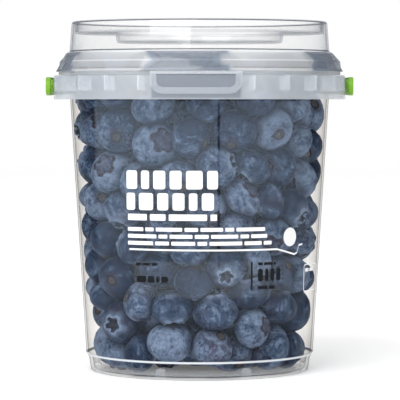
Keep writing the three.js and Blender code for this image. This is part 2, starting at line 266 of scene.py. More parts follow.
def clear_selection():
    if bpy.context.mode != "OBJECT":
        bpy.ops.object.mode_set(mode="OBJECT")
    bpy.ops.object.select_all(action="DESELECT")


def take(obj):
    """Makes a piece the only one selected."""
    clear_selection()
    obj.select_set(True)
    bpy.context.view_layer.objects.active = obj
    return obj


def named(name):
    obj = bpy.context.active_object
    obj.name = name
    obj.data.name = name
    return obj


def pick(obj, kind, wanted):
    """In edit mode, selects only the corners, edges or faces that lie wholly where a test says."""
    bpy.ops.mesh.select_mode(type=kind)
    bpy.ops.mesh.select_all(action="DESELECT")
    shape = bmesh.from_edit_mesh(obj.data)
    items = {"VERT": shape.verts, "EDGE": shape.edges, "FACE": shape.faces}[kind]
    for item in items:
        places = [item.co] if kind == "VERT" else [corner.co for corner in item.verts]
        item.select_set(all(wanted(place) for place in places))
    if kind == "VERT":
        shape.select_flush(True)
    bmesh.update_edit_mesh(obj.data)


def pick_all(kind):
    """In edit mode, selects every corner, edge or face."""
    bpy.ops.mesh.select_mode(type=kind)
    bpy.ops.mesh.select_all(action="SELECT")


def slice_across(places):
    """In edit mode, slices a flat piece upright at places in millimetres, so that it can be bent."""
    for at in places:
        bpy.ops.mesh.select_all(action="SELECT")
        bpy.ops.mesh.bisect(plane_co=(at * MM, 0, 0), plane_no=(1, 0, 0))


def close_up(obj):
    """Joins touching corners and points the faces outwards."""
    pick_all("VERT")
    bpy.ops.mesh.remove_doubles(threshold=0.002 * MM)
    bpy.ops.mesh.dissolve_degenerate(threshold=0.001 * MM)
    bpy.ops.mesh.delete_loose()
    bpy.ops.mesh.select_all(action="SELECT")
    bpy.ops.mesh.normals_make_consistent(inside=False)
    bpy.ops.object.mode_set(mode="OBJECT")
    return obj


def smooth(obj, angle=35):
    take(obj)
    bpy.ops.object.shade_smooth_by_angle(angle=radians(angle))
    return obj


def chain(places):
    """An open chain of edges through places, left in edit mode."""
    bpy.ops.mesh.primitive_plane_add(size=MM)
    bpy.ops.object.mode_set(mode="EDIT")
    pick_all("VERT")
    bpy.ops.mesh.merge(type="CENTER")
    bpy.ops.transform.translate(value=places[0])
    for here, there in zip(places, places[1:]):
        bpy.ops.mesh.extrude_vertices_move(TRANSFORM_OT_translate={"value": there - here})
    return bpy.context.active_object


def traced(name, corners, turn=0):
    """A closed chain of edges through (radius, height, rounding) corners, left in edit mode."""
    clear_selection()
    places = [round_point(radius, turn, height) for radius, height, _ in corners]
    obj = chain(places)
    named(name)
    ends = (places[0], places[-1])
    pick(obj, "VERT", lambda place: min((place - end).length for end in ends) < 0.001 * MM)
    bpy.ops.mesh.edge_face_add()
    for rounding in sorted({corner[2] for corner in corners} - {0}, reverse=True):
        spots = [place for place, corner in zip(places, corners) if corner[2] == rounding]
        pick(obj, "VERT", lambda place: min((place - spot).length for spot in spots) < 0.001 * MM)
        bpy.ops.mesh.bevel(offset=rounding * MM, segments=3, affect="VERTICES")
    bpy.ops.mesh.select_all(action="SELECT")
    return obj


def spin(steps, turn=360):
    """Carries what is selected round the tub's axis, to the right as seen from the front."""
    bpy.ops.mesh.spin(steps=steps, angle=radians(turn), center=(0, 0, 0), axis=(0, 0, -1))


def turned_solid(name, corners, steps=ROUND_STEPS):
    obj = traced(name, corners)
    spin(steps)
    return close_up(obj)


def turned_copy(obj, turn):
    """A copy with a mesh of its own, turned round the tub's axis."""
    copy = obj.copy()
    copy.data = obj.data.copy()
    copy.data.transform(Matrix.Rotation(radians(turn), 4, "Z"))
    bpy.context.scene.collection.objects.link(copy)
    return copy


def joined(name, pieces):
    take(pieces[0])
    for piece in pieces[1:]:
        piece.select_set(True)
    if len(pieces) > 1:
        bpy.ops.object.join()
    return named(name)


def cut(obj, cutters, operation="DIFFERENCE"):
    """Takes away, or adds, solids by one Boolean that is applied at once."""
    cutter = joined("cutter", cutters)
    take(obj)
    bpy.ops.object.modifier_add(type="BOOLEAN")
    modifier = obj.modifiers[-1]
    modifier.operation = operation
    modifier.solver = "EXACT"
    modifier.use_self = True
    modifier.object = cutter
    bpy.ops.object.modifier_apply(modifier=modifier.name)
    bpy.data.objects.remove(cutter)
    return obj


def slab(name, size, middle):
    """A box of a given size in millimetres, left in edit mode."""
    clear_selection()
    bpy.ops.mesh.primitive_cube_add(size=1)
    obj = named(name)
    bpy.ops.object.mode_set(mode="EDIT")
    bpy.ops.transform.resize(value=Vector(size) * MM)
    bpy.ops.transform.translate(value=Vector(middle) * MM)
    return obj


def sheet(name, left, right, low, high):
    """A flat rectangle that faces the front, left in edit mode."""
    clear_selection()
    bpy.ops.mesh.primitive_plane_add(size=1, rotation=(pi / 2, 0, 0))
    bpy.ops.object.transform_apply(location=False, rotation=True, scale=False)
    obj = named(name)
    bpy.ops.object.mode_set(mode="EDIT")
    bpy.ops.transform.resize(value=((right - left) * MM, 1, (high - low) * MM))
    bpy.ops.transform.translate(value=((left + right) / 2 * MM, 0, (low + high) / 2 * MM))
    return obj


def turned_copies(obj, turns):
    """Copies of a piece at several turns, in place of the piece."""
    copies = [turned_copy(obj, turn) for turn in turns]
    bpy.data.objects.remove(obj)
    return copies


def mark(obj, name, values):
    """Writes a number for each corner of a piece, which its material reads by name."""
    numbers = np.array(values, np.float32)
    obj.data.attributes.new(name, "FLOAT", "POINT").data.foreach_set("value", numbers)


def rod_across(radius, start, end, sides=32, bevel=0.0):
    """A round rod along X at the height of the handle's pivots."""
    clear_selection()
    bpy.ops.mesh.primitive_cylinder_add(
        vertices=sides,
        radius=radius * MM,
        depth=abs(end - start) * MM,
        location=((start + end) / 2 * MM, 0, PIVOT_HEIGHT * MM),
        rotation=(0, pi / 2, 0),
    )
    bpy.ops.object.transform_apply(location=True, rotation=True, scale=True)
    rod = bpy.context.active_object
    if bevel:
        bpy.ops.object.mode_set(mode="EDIT")
        ends = (start * MM, end * MM)
        pick(rod, "EDGE", lambda place: min(abs(place.x - at) for at in ends) < 0.01 * MM)
        bpy.ops.mesh.bevel(offset=bevel * MM, segments=2)
        bpy.ops.object.mode_set(mode="OBJECT")
    return rod


# Materials


class Nodes:
    """A node tree, built up step by step."""

    def __init__(self, tree):
        self.tree = tree
        tree.nodes.clear()

    def add(self, kind, values=(), **settings):
        """A node with settings and with values or links on its inputs, given by name or number."""
        node = self.tree.nodes.new(kind)
        for key, value in settings.items():
            setattr(node, key, value)
        for key, value in dict(values).items():
            if isinstance(value, bpy.types.NodeSocket):
                self.tree.links.new(value, node.inputs[key])
            else:
                node.inputs[key].default_value = value
        return node

    def noise(self, scale, detail=2.0, roughness=0.5, distortion=0.0, vector=None):
        values = {
            "Vector": vector or self.place,
            "Scale": scale,
            "Detail": detail,
            "Roughness": roughness,
            "Distortion": distortion,
        }
        return self.add("ShaderNodeTexNoise", values).outputs["Fac"]

    def ramp(self, value, low, high, start=0.0, end=1.0):
        """Stretches a value from low..high to start..end, held at both ends."""
        values = {"Value": value, "From Min": low, "From Max": high, "To Min": start, "To Max": end}
        return self.add("ShaderNodeMapRange", values, clamp=True).outputs[0]

    def math(self, operation, first, second=0.0):
        return self.add("ShaderNodeMath", {0: first, 1: second}, operation=operation).outputs[0]

    def weighted(self, *parts):
        """The sum of values, each times its weight."""
        total = 0.0
        for value, weight in parts:
            terms = {0: value, 1: weight, 2: total}
            total = self.add("ShaderNodeMath", terms, operation="MULTIPLY_ADD").outputs[0]
        return total

    def parts_of(self, vector):
        """The X, Y and Z of a vector."""
        return self.add("ShaderNodeSeparateXYZ", {"Vector": vector}).outputs

    def band(self, value, rise, full, fall, gone, share):
        """A share that a value brings in from rise to full and takes out again from fall to gone."""
        inner = self.math("MULTIPLY", self.ramp(value, rise, full), self.ramp(value, gone, fall))
        return self.math("MULTIPLY", inner, share)

    def blend(self, share, first, second):
        """A colour between two, by a share."""
        node = self.add("ShaderNodeMix", data_type="RGBA")
        for socket, value in zip((node.inputs[0], node.inputs[6], node.inputs[7]), (share, first, second)):
            if isinstance(value, bpy.types.NodeSocket):
                self.tree.links.new(value, socket)
            else:
                socket.default_value = value
        return node.outputs[2]

    def attribute(self, name):
        return self.add("ShaderNodeAttribute", attribute_name=name).outputs["Fac"]

    def bump(self, height, strength, distance):
        values = {"Height": height, "Strength": strength, "Distance": distance * MM}
        return self.add("ShaderNodeBump", values).outputs["Normal"]

    def mix(self, share, first, second):
        return self.add("ShaderNodeMixShader", {0: share, 1: first, 2: second}).outputs[0]

    def principled(self, values):
        return self.add("ShaderNodeBsdfPrincipled", values).outputs[0]

    def clear(self, tint=(1, 1, 1, 1)):
        return self.add("ShaderNodeBsdfTransparent", {"Color": tint}).outputs[0]


class Finish(Nodes):
    """The nodes of a material."""

    def __init__(self, name):
        self.material = bpy.data.materials.new(name)
        self.material.use_nodes = True
        super().__init__(self.material.node_tree)
        self.place = self.add("ShaderNodeTexCoord").outputs["Object"]

    def finish(self, shader):
        self.add("ShaderNodeOutputMaterial", {"Surface": shader})
        return self.material


def colour(values):
    return (*tuple(values)[:3], 1.0)


def clear_plastic(name, settings, haze_and_highlights, marks, corners=()):
    """Clear plastic: see-through, a little hazy, and greyer and more mirror-like where it is seen edge on;
    the grey edge and its thin dark outline are painted shade standing in for refraction. It is milkier by a
    share between two heights for each (low, high, share) triple, which paints highlight lines along ridges
    as well as haze, and by a share of a colour where an attribute is set, for each (attribute, colour,
    share) triple, which paints highlights and shade. Moulded corners show as painted dark lines."""
    finish = Finish(name)
    facing = finish.add("ShaderNodeLayerWeight", {"Blend": 0.5}).outputs["Facing"]
    height = finish.parts_of(finish.place)[2]
    # Painted shade: the light seen through is tinted grey where the plastic is seen edge on and darker in a
    # thin outline, standing in for refraction
    rim = colour(settings.rim_shade)
    edge = finish.math("POWER", facing, settings.edge_power)
    tint = finish.blend(edge, (1, 1, 1, 1), colour(settings.edge_shade))
    tint = finish.blend(finish.math("POWER", facing, RIM_POWER), tint, rim)
    # Painted shade: dark lines at the given corner heights, standing in for refraction at moulded corners
    for middle in corners:
        ends = [(middle + step * CORNER_SHADE_LINE) * MM for step in (-2, -1, 1, 2)]
        tint = finish.blend(finish.band(height, *ends, 1.0), tint, rim)
    milk = colour(settings.haze_colour)
    haze = finish.math("MULTIPLY", finish.ramp(finish.noise(40, 2.0), 0.3, 0.7, 0.8, 1.2), settings.haze)
    # Bands by height: painted highlight lines along ridges, and haze
    for low, high, share in haze_and_highlights:
        ends = [end * MM for end in (low - BAND_FADE, low, high, high + BAND_FADE)]
        haze = finish.math("ADD", haze, finish.band(height, *ends, share))
    # Marks: painted highlights and painted shade, each a share of a colour where an attribute is set
    for mark, shade, share in marks:
        here = finish.attribute(mark)
        milk = finish.blend(here, milk, colour(shade))
        haze = finish.weighted((haze, 1.0), (here, share))
    waves = finish.bump(finish.noise(70, 1.0), 0.12, 0.3)
    gloss = finish.add("ShaderNodeBsdfGlossy", {"Color": (1, 1, 1, 1), "Roughness": 0.03, "Normal": waves})
    mirror = finish.ramp(finish.math("POWER", facing, 5.0), 0, 1, settings.mirror, settings.edge_mirror)
    body = finish.principled({"Base Color": milk, "Roughness": 0.25, "IOR": 1.45})
    hazy = finish.mix(haze, finish.clear(tint), body)
    return finish.finish(finish.mix(mirror, hazy, gloss.outputs[0]))


def behind_tab(finish):
    """Where the skirt lies behind the tear tab and just below it."""
    across, away, height = finish.parts_of(finish.place)
    half = TAB_WIDTH / 2 * MM
    foot = COLLAR_BOTTOM * MM
    at_front = finish.ramp(away, 0.0, -MM)
    in_width = finish.ramp(finish.math("ABSOLUTE", across), half, half - MM)
    over_foot = finish.ramp(height, foot + 0.3 * MM, foot + 0.7 * MM)
    return finish.math("MULTIPLY", finish.math("MULTIPLY", at_front, in_width), over_foot)


def milky_plastic(name, settings, milk, tab_shade_cover=None):
    """The pale plastic of the collar, which lets some light through. Behind the tab it is painted darker:
    painted shade for the berries' shadow seen through it.
    """
    finish = Finish(name)
    grain = finish.ramp(finish.noise(30, 3.0, 0.6), 0.3, 0.7)
    shade = finish.blend(grain, colour(settings.collar_colour), colour(settings.collar_shade))
    if tab_shade_cover is not None:
        # Painted shade behind the tab
        behind = behind_tab(finish)
        milk = finish.ramp(behind, 0.0, 1.0, milk, tab_shade_cover)
        shade = finish.blend(behind, shade, colour(settings.tab_shade))
    waves = finish.bump(finish.noise(180, 2.0), 0.12, 0.2)
    body = finish.principled({"Base Color": shade, "Roughness": 0.3, "IOR": 1.45, "Normal": waves})
    return finish.finish(finish.mix(milk, finish.clear(), body))


def handle_plastic(settings):
    finish = Finish("green_plastic")
    flow = finish.noise(45, 3.0, 0.55)
    shade = finish.blend(finish.ramp(flow, 0.3, 0.7), colour(settings.colour), colour(settings.shade))
    grain = finish.bump(finish.noise(2200, 2.0), 0.15, 0.08)
    values = {
        "Base Color": shade,
        "Roughness": finish.ramp(finish.noise(300, 2.0), 0.3, 0.7, 0.32, 0.42),
        "IOR": 1.46,
        "Subsurface Weight": 0.08,
        "Subsurface Scale": 0.002,
        "Normal": grain,
    }
    return finish.finish(finish.principled(values))


def crown_layers(finish, settings, own, out, mottle):
    """The crown's halo, lobes, floor and heart, each as a share of the skin and its colour."""
    across, along, up = finish.parts_of(own)
    at_crown = finish.ramp(up, 0.2, 0.4)
    lobes = finish.math("COSINE", finish.math("MULTIPLY", finish.math("ARCTAN2", along, across), 5.0))
    lobes = finish.ramp(lobes, -0.9, 0.3, -1.0, 1.0)
    # How far out a point lies, as a share of the crown's radius, and less along each of its lobes
    edge = finish.math("DIVIDE", out, finish.attribute("crown"))
    edge = finish.weighted((edge, 1.0), (lobes, -0.13))
    halo = finish.band(edge, 0.95, 1.05, 1.15, 1.7, at_crown)
    lip = finish.band(edge, 0.72, 0.8, 1.0, 1.12, at_crown)
    inside = finish.band(edge, -2.0, -1.9, 0.7, 0.78, at_crown)
    inside = finish.math("MULTIPLY", inside, finish.ramp(mottle, 0.4, 0.62, 1.0, 0.45))
    heart = finish.band(edge, -2.0, -1.9, -0.02, 0.06, at_crown)
    kind = finish.ramp(finish.attribute("tone"), 0.45, 0.55)
    pale = colour(settings.bloom_pale)
    lip_shade = finish.blend(kind, pale, colour(settings.crown))
    floor_shade = finish.blend(kind, colour(settings.crown_floor), colour(settings.bloom_purple))
    return [
        (finish.math("MULTIPLY", halo, 0.4), pale),
        (lip, lip_shade),
        (inside, floor_shade),
        (heart, colour(settings.scar)),
    ]


def stem_layers(finish, settings, own, out):
    """The halo, ring and middle of the stem's scar, each as a share of the skin and its colour."""
    at_stem = finish.ramp(finish.parts_of(own)[2], -0.2, -0.4)
    halo = finish.band(out, 0.0, 0.05, 0.3, 0.5, at_stem)
    return [
        (finish.math("MULTIPLY", halo, 0.5), colour(settings.crown)),
        (finish.band(out, 0.17, 0.2, 0.24, 0.28, at_stem), colour(settings.crown_floor)),
        (finish.band(out, 0.02, 0.08, 0.14, 0.19, at_stem), colour(settings.scar)),
    ]


def berry_skin(settings):
    """Dark blue skin under a dusty bloom that is rubbed off in patches, darker where berries touch, which is
    partly rubbed bloom and partly painted shade between them, with a star-shaped crown at one end and the
    stem's scar at the other.
    Reads each berry's own coordinates from its attributes."""
    finish = Finish("berry_skin")
    tone = finish.attribute("tone")
    own = finish.add("ShaderNodeAttribute", attribute_name="own").outputs["Vector"]
    # How far a point lies from its berry's axis, frayed a little
    own_x, own_y = finish.parts_of(own)[:2]
    fray = finish.ramp(finish.noise(500, 2.0), 0.3, 0.7, -0.02, 0.02)
    out = finish.math("SQRT", finish.weighted((own_x, own_x), (own_y, own_y)))
    out = finish.math("ADD", out, fray)

    patches = finish.noise(105, 3.0, 0.6, 1.5)
    mottle = finish.noise(420, 8.0, 0.78, 1.6)
    dust = finish.noise(1500, 4.0, 0.75, 0.6)
    # Each berry's own coordinates, drawn out towards its ends and shifted so that no two berries match
    drawn_out = finish.add("ShaderNodeMapping", {"Vector": own, "Scale": (5.0, 5.0, 1.4)}).outputs[0]
    shift = {0: drawn_out, 1: finish.math("MULTIPLY", tone, 40.0)}
    shifted = finish.add("ShaderNodeVectorMath", shift).outputs[0]
    streaks = finish.noise(1.0, 6.0, 0.75, 1.2, shifted)
    worn = finish.weighted((patches, 0.7), (mottle, 0.6), (streaks, 0.6), (dust, 0.3), (tone, 0.28))
    purple = finish.ramp(finish.weighted((finish.noise(60, 2.0), 1.0), (tone, 0.2)), 0.62, 0.82)

    bloom = finish.blend(purple, colour(settings.bloom), colour(settings.bloom_purple))
    # Darker where berries nearly touch: partly bloom rubbed off there, partly painted shade between them
    touch = finish.ramp(finish.attribute("touch"), 0.1, 0.95, 0.0, settings.rubbed_and_shaded)
    crown = crown_layers(finish, settings, own, out, mottle)
    layers = [
        (finish.ramp(worn, 1.06, 1.2), bloom),
        (finish.ramp(worn, 1.2, 1.42), colour(settings.bloom_pale)),
        (touch, colour(settings.skin)),
        *crown,
        *stem_layers(finish, settings, own, out),
    ]
    coat = finish.blend(purple, colour(settings.skin), colour(settings.skin_purple))
    for share, shade in layers:
        coat = finish.blend(share, coat, shade)
    lip = crown[1][0]
    height = finish.weighted((mottle, 1.0), (dust, 0.3), (lip, 0.8))
    values = {
        "Base Color": coat,
        "Roughness": finish.ramp(worn, 1.0, 1.4, 0.4, 0.7),
        "IOR": 1.42,
        "Specular IOR Level": 0.12,
        "Sheen Weight": 0.07,
        "Sheen Roughness": 0.3,
        "Sheen Tint": colour(settings.bloom_pale),
        "Normal": finish.bump(height, 0.35, 0.3),
    }
    return finish.finish(finish.principled(values))


def dark_heap():
    """Painted shade: the unlit inside of the heap, where skins only just show, as a dark solid."""
    finish = Finish("heap_dark")
    depth = finish.ramp(finish.noise(70, 3.0), 0.35, 0.65)
    shade = finish.blend(depth, (0.006, 0.009, 0.018, 1), (0.03, 0.04, 0.07, 1))
    values = {"Base Color": shade, "Roughness": 0.8, "Normal": finish.bump(finish.noise(60), 1.0, 4.0)}
    return finish.finish(finish.principled(values))


def painted_veil(settings):
    """Painted reflection of the front lights: a faint bluish haze on the wall, thinner towards the foot as
    painted shade.
    """
    finish = Finish("painted_veil")
    height = finish.parts_of(finish.place)[2]
    low, high = (end * MM for end in VEIL_HEIGHTS)
    cover = finish.ramp(height, low, high, settings.veil_cover * VEIL_FOOT_SHARE, settings.veil_cover)
    streaks = finish.ramp(finish.noise(25, 3.0), 0.3, 0.7, 0.85, 1.15)
    body = finish.add("ShaderNodeBsdfDiffuse", {"Color": colour(settings.veil)}).outputs[0]
    return finish.finish(finish.mix(finish.math("MULTIPLY", cover, streaks), finish.clear(), body))


def ink(name, shade, thin=1.0):
    """Printing ink, a little uneven, and see-through where thin is below 1."""
    finish = Finish(name)
    cover = finish.ramp(finish.noise(900, 3.0), 0.2, 0.8, 0.94 * thin, 1.0 * thin)
    body = finish.principled({"Base Color": colour(shade), "Roughness": 0.6, "Specular IOR Level": 0.2})
    return finish.finish(finish.mix(cover, finish.clear(), body))


def floor_paint(settings):
    finish = Finish("studio_floor")
    grain = finish.ramp(finish.noise(6, 3.0), 0.3, 0.7, 0.98, 1.0)
    values = {
        "Base Color": finish.blend(grain, (0.9, 0.9, 0.9, 1), colour(settings.floor_colour)),
        "Roughness": 0.9,
        "Emission Color": (1, 1, 1, 1),
        "Emission Strength": settings.floor_glow,
    }
    return finish.finish(finish.principled(values))


# Sizes and colours that a user would change


def tint(label, note, default):
    return bpy.props.FloatVectorProperty(
        name=label, description=note, default=default, min=0, max=1, size=3, subtype="COLOR"
    )


def fraction(label, note, default):
    return bpy.props.FloatProperty(
        name=label, description=note, default=default, min=0, max=1, subtype="FACTOR"
    )


def amount(label, note, default, low=0.0, **kind):
    return bpy.props.FloatProperty(name=label, description=note, default=default, min=low, **kind)


class TubSettings(bpy.types.PropertyGroup):
    # Painted highlight: the colour of the pale lines painted on the notches
    pad_highlight_colour: tint("Notch Colour", "Colour of the milky notches in the foot", (0.86, 0.88, 0.9))
    haze: fraction("Haze", "How milky the clear wall is", 0.001)
    haze_colour: tint("Haze Colour", "Colour of the faint milk in the clear wall", (0.72, 0.76, 0.8))
    # Painted shade: the edge and rim colours tint the light seen through the wall where it is seen edge on,
    # standing in for refraction
    edge_shade: tint("Edge Colour", "Colour of the wall where it is seen edge on", (0.83, 0.82, 0.805))
    edge_power: amount("Edge Power", "How closely the edge colour keeps to the edge", 2.0, 0.5)
    rim_shade: tint("Rim Colour", "Colour of the wall's thin outline", (0.3, 0.31, 0.33))
    mirror: fraction("Mirror", "How much the wall mirrors where it is seen straight on", 0.002)
    edge_mirror: fraction("Edge Mirror", "How much the wall mirrors where it is seen edge on", 0.025)
    collar_colour: tint("Collar Colour", "Colour of the milky collar", (0.76, 0.8, 0.85))
    collar_shade: tint("Collar Shade", "Darker colour in the milky collar", (0.66, 0.71, 0.77))
    # Painted highlight: the bright line along the ridge round the foot and the pale notch sides
    painted_highlight: fraction("Frost", "Extra haze of the ridge round the foot", 0.9)
    rim_frost: fraction("Rim Frost", "Extra haze of the rim that the lid sits on", 0.6)
    # Painted shade: the skirt behind the tab is painted darker, for the berries' shadow seen through it
    tab_shade: tint("Tab Colour", "Colour of the skirt behind the tab", (0.3, 0.335, 0.39))
    tab_shade_cover: fraction("Tab Milk", "How opaque the skirt is behind the tab", 0.6)
    skirt_milk: fraction("Skirt Milk", "How opaque the skirt is", 0.36)
    frame_milk: fraction("Frame Milk", "How opaque the tab's frame is", 0.3)
    rib_milk: fraction("Rib Milk", "How opaque the ribs are", 0.85)


class LidSettings(bpy.types.PropertyGroup):
    # Painted light on the shoulder: the pads show a painted reflection of a soft light, and the shoulder
    # between them painted shade
    pad_highlight_colour: tint("Pad Colour", "Colour of the shoulder's milky pads", (0.66, 0.68, 0.7))
    gap_shade: tint("Gap Colour", "Colour of the shoulder between its pads", (0.19, 0.225, 0.28))
    gap_shade_cover: fraction("Gap Frost", "Extra haze of the shoulder between its pads", 0.55)
    haze: fraction("Haze", "How milky the clear lid is", 0.02)
    haze_colour: tint("Haze Colour", "Colour of the faint milk in the lid", (0.9, 0.91, 0.92))
    # Painted shade: the edge and rim colours tint the light seen through the lid where it is seen edge on,
    # standing in for refraction
    edge_shade: tint("Edge Colour", "Colour of the lid where it is seen edge on", (0.84, 0.85, 0.87))
    edge_power: amount("Edge Power", "How closely the edge colour keeps to the edge", 3.0, 0.5)
    rim_shade: tint("Rim Colour", "Colour of the lid's thin outlines", (0.4, 0.42, 0.45))
    mirror: fraction("Mirror", "How much the lid mirrors where it is seen straight on", 0.025)
    edge_mirror: fraction("Edge Mirror", "How much the lid mirrors where it is seen edge on", 0.15)
    # Painted reflection: how strongly the pads show the soft light
    painted_highlight: fraction("Frost", "Extra haze of the shoulder's pads", 0.42)
    shoulder_frost: fraction("Shoulder Frost", "Extra haze of the whole shoulder", 0.05)
    # Painted highlight lines along the shoulder's ridges
    line_highlight: fraction("Line Frost", "Extra haze of the shoulder's ridges", 0.3)


class HandleSettings(bpy.types.PropertyGroup):
    colour: tint("Colour", "Colour of the handle", (0.2, 0.46, 0.012))
    shade: tint("Shade", "Second colour that flows through the handle", (0.15, 0.39, 0.01))


class BerrySettings(bpy.types.PropertyGroup):
    # Darkening where berries touch: partly rubbed bloom, partly painted shade between them
    rubbed_and_shaded: fraction("Rubbed", "How much bloom is rubbed off where berries touch", 0.85)
    skin: tint("Skin", "Colour of the bare skin", (0.007, 0.014, 0.04))
    skin_purple: tint("Purple Skin", "Colour of the redder patches of skin", (0.022, 0.016, 0.038))
    bloom: tint("Bloom", "Colour of the dusty bloom", (0.03, 0.056, 0.11))
    bloom_purple: tint("Purple Bloom", "Colour of the bloom on the redder patches", (0.05, 0.048, 0.088))
    bloom_pale: tint("Pale Bloom", "Colour of the bloom where it is thick", (0.19, 0.255, 0.37))
    crown: tint("Crown", "Colour of the crown's lobes", (0.038, 0.03, 0.045))
    crown_floor: tint("Crown Floor", "Colour inside the crown", (0.014, 0.013, 0.018))
    scar: tint("Scar", "Colour of the stem's scar", (0.075, 0.062, 0.04))


class PrintSettings(bpy.types.PropertyGroup):
    white: tint("White Ink", "Colour of the white print", (0.93, 0.94, 0.95))
    black: tint("Black Ink", "Colour of the black print", (0.003, 0.004, 0.006))
    # Painted reflection: the film colour and cover paint a veil of the front lights' reflection over the
    # wall
    veil: tint("Label Film", "Colour of the faint haze of the clear label", (0.43, 0.53, 0.67))
    veil_cover: fraction("Film Cover", "How much the clear label hides", 0.135)
    field: tint("Pale Field", "Colour of the pale field behind the black print", (0.6, 0.66, 0.72))
    field_cover: fraction("Field Cover", "How much the pale field hides", 0.045)


class StageSettings(bpy.types.PropertyGroup):
    floor_colour: tint("Floor Colour", "Colour of the floor", (0.97, 0.97, 0.97))
    floor_glow: amount("Floor Glow", "Light from under the translucent floor", 0.22)
    sky: amount("Sky", "Strength of the even white light", 1.0)
    dim: amount("Dim Walls", "Strength of the walls beside the backdrop", 0.12)
    key: amount("Key Light", "Power of the large soft light at the upper left", 10.0, unit="POWER")
    camera_distance: amount("Camera Distance", "How far the camera stands from the tub", 1.0, unit="LENGTH")
    camera_height: amount("Camera Height", "How high the camera stands", 0.1094, unit="LENGTH")
    camera_turn: amount(
        "Camera Turn", "How far right of the front it stands", radians(1.3), -pi, subtype="ANGLE"
    )
    lens: amount("Lens", "Focal length, in millimetres", 222.0, 10)


class PunnetSettings(bpy.types.PropertyGroup):
    tub: bpy.props.PointerProperty(type=TubSettings)
    lid: bpy.props.PointerProperty(type=LidSettings)
    handle: bpy.props.PointerProperty(type=HandleSettings)
    berries: bpy.props.PointerProperty(type=BerrySettings)
    ink: bpy.props.PointerProperty(type=PrintSettings)
    stage: bpy.props.PointerProperty(type=StageSettings)


def dress(obj, material):
    obj.data.materials.clear()
    obj.data.materials.append(material)
    return obj


# Tub


def foot_notches():
    """The arched recesses round the foot, as solids to cut away."""
    wide, narrow = NOTCH_WIDTH
    outwards = FOOT_RADIUS - NOTCH_DEPTH + NOTCH_REACH / 2
    middle = (0, -outwards, (NOTCH_HEIGHT - NOTCH_OVERRUN) / 2)
    notch = slab("notch", (wide, NOTCH_REACH, NOTCH_HEIGHT + NOTCH_OVERRUN), middle)
    pick(notch, "VERT", lambda place: place.z > 0)
    bpy.ops.transform.resize(value=(narrow / wide, 1, 1), center_override=(0, 0, 0))
    pick(notch, "EDGE", lambda place: place.z > 0 and abs(place.x) > 0)
    upright = [edge for edge in bmesh.from_edit_mesh(notch.data).edges if edge.select]
    for edge in upright:
        edge.select_set(abs(edge.verts[0].co.y - edge.verts[1].co.y) > MM)
    bpy.ops.mesh.bevel(offset=1.0 * MM, segments=3)
    bpy.ops.object.mode_set(mode="OBJECT")
    return turned_copies(notch, [NOTCH_TURN + i * 360 / NOTCHES for i in range(NOTCHES)])


def tub_wall():
    """The clear wall, from the foot to the rim that the lid sits on."""
    wall = turned_solid(
        "tub_wall",
        [
            (0, FOOT_RECESS, 0),
            (FOOT_RADIUS - FOOT_RING - 1, FOOT_RECESS, MOULD_ROUND),
            (FOOT_RADIUS - FOOT_RING, 0, MOULD_ROUND),
            (FOOT_RADIUS, 0, FOOT_ROUND),
            (STEP_RADIUS, STEP_HEIGHT, MOULD_ROUND),
            (RIDGE_RADIUS, RIDGE_HEIGHT, MOULD_ROUND),
            (body_radius(COLLAR_TOP - WEB), COLLAR_TOP - WEB, 0),
            (body_radius(COLLAR_TOP), COLLAR_TOP, 0),
            (RIM_RADIUS, COLLAR_TOP, 0),
            (RIM_RADIUS, RIM_TOP, CORNER),
            (inner_radius(RIM_TOP), RIM_TOP, CORNER),
            (inner_radius(RIDGE_HEIGHT), RIDGE_HEIGHT, MOULD_ROUND),
            (STEP_RADIUS - FOOT_WALL, STEP_HEIGHT, MOULD_ROUND),
            (FOOT_RADIUS - FOOT_WALL, FLOOR, FOOT_ROUND),
            (0, FLOOR, 0),
        ],
    )
    cut(wall, foot_notches())
    # Painted highlight: the sides of the notches are marked to show pale lines, as the light bent at their
    # edges would
    haze_and_highlights = []
    for corner in wall.data.vertices:
        recess = FOOT_RADIUS - hypot(corner.co.x, corner.co.y) / MM
        above_floor = FLOOR < corner.co.z / MM < NOTCH_HEIGHT + 0.2
        haze_and_highlights.append(NOTCH_HIGHLIGHT if above_floor and 0.1 < recess < FOOT_WALL - 0.1 else 0)
    mark(wall, "pad", haze_and_highlights)
    return smooth(wall)


def collar_ribs():
    """The upright ribs between wall and skirt, all round but behind the tear tab."""
    inner = body_radius(COLLAR_TOP) - 0.1
    outer = COLLAR_RADIUS - COLLAR_WALL / 2
    top = COLLAR_TOP - WEB / 2
    middle = (0, -(outer + inner) / 2, (top + RIB_BOTTOM) / 2)
    rib = slab("rib", (RIB_WALL, outer - inner, top - RIB_BOTTOM), middle)
    bottom = RIB_BOTTOM * MM
    pick(rib, "FACE", lambda place: place.z < bottom + 0.01 * MM)
    bpy.ops.mesh.bevel(offset=RIB_BEVEL * MM, segments=2)
    bpy.ops.object.mode_set(mode="OBJECT")
    return turned_copies(rib, np.arange(1.5 * RIB_STEP, 360 - RIB_STEP, RIB_STEP))


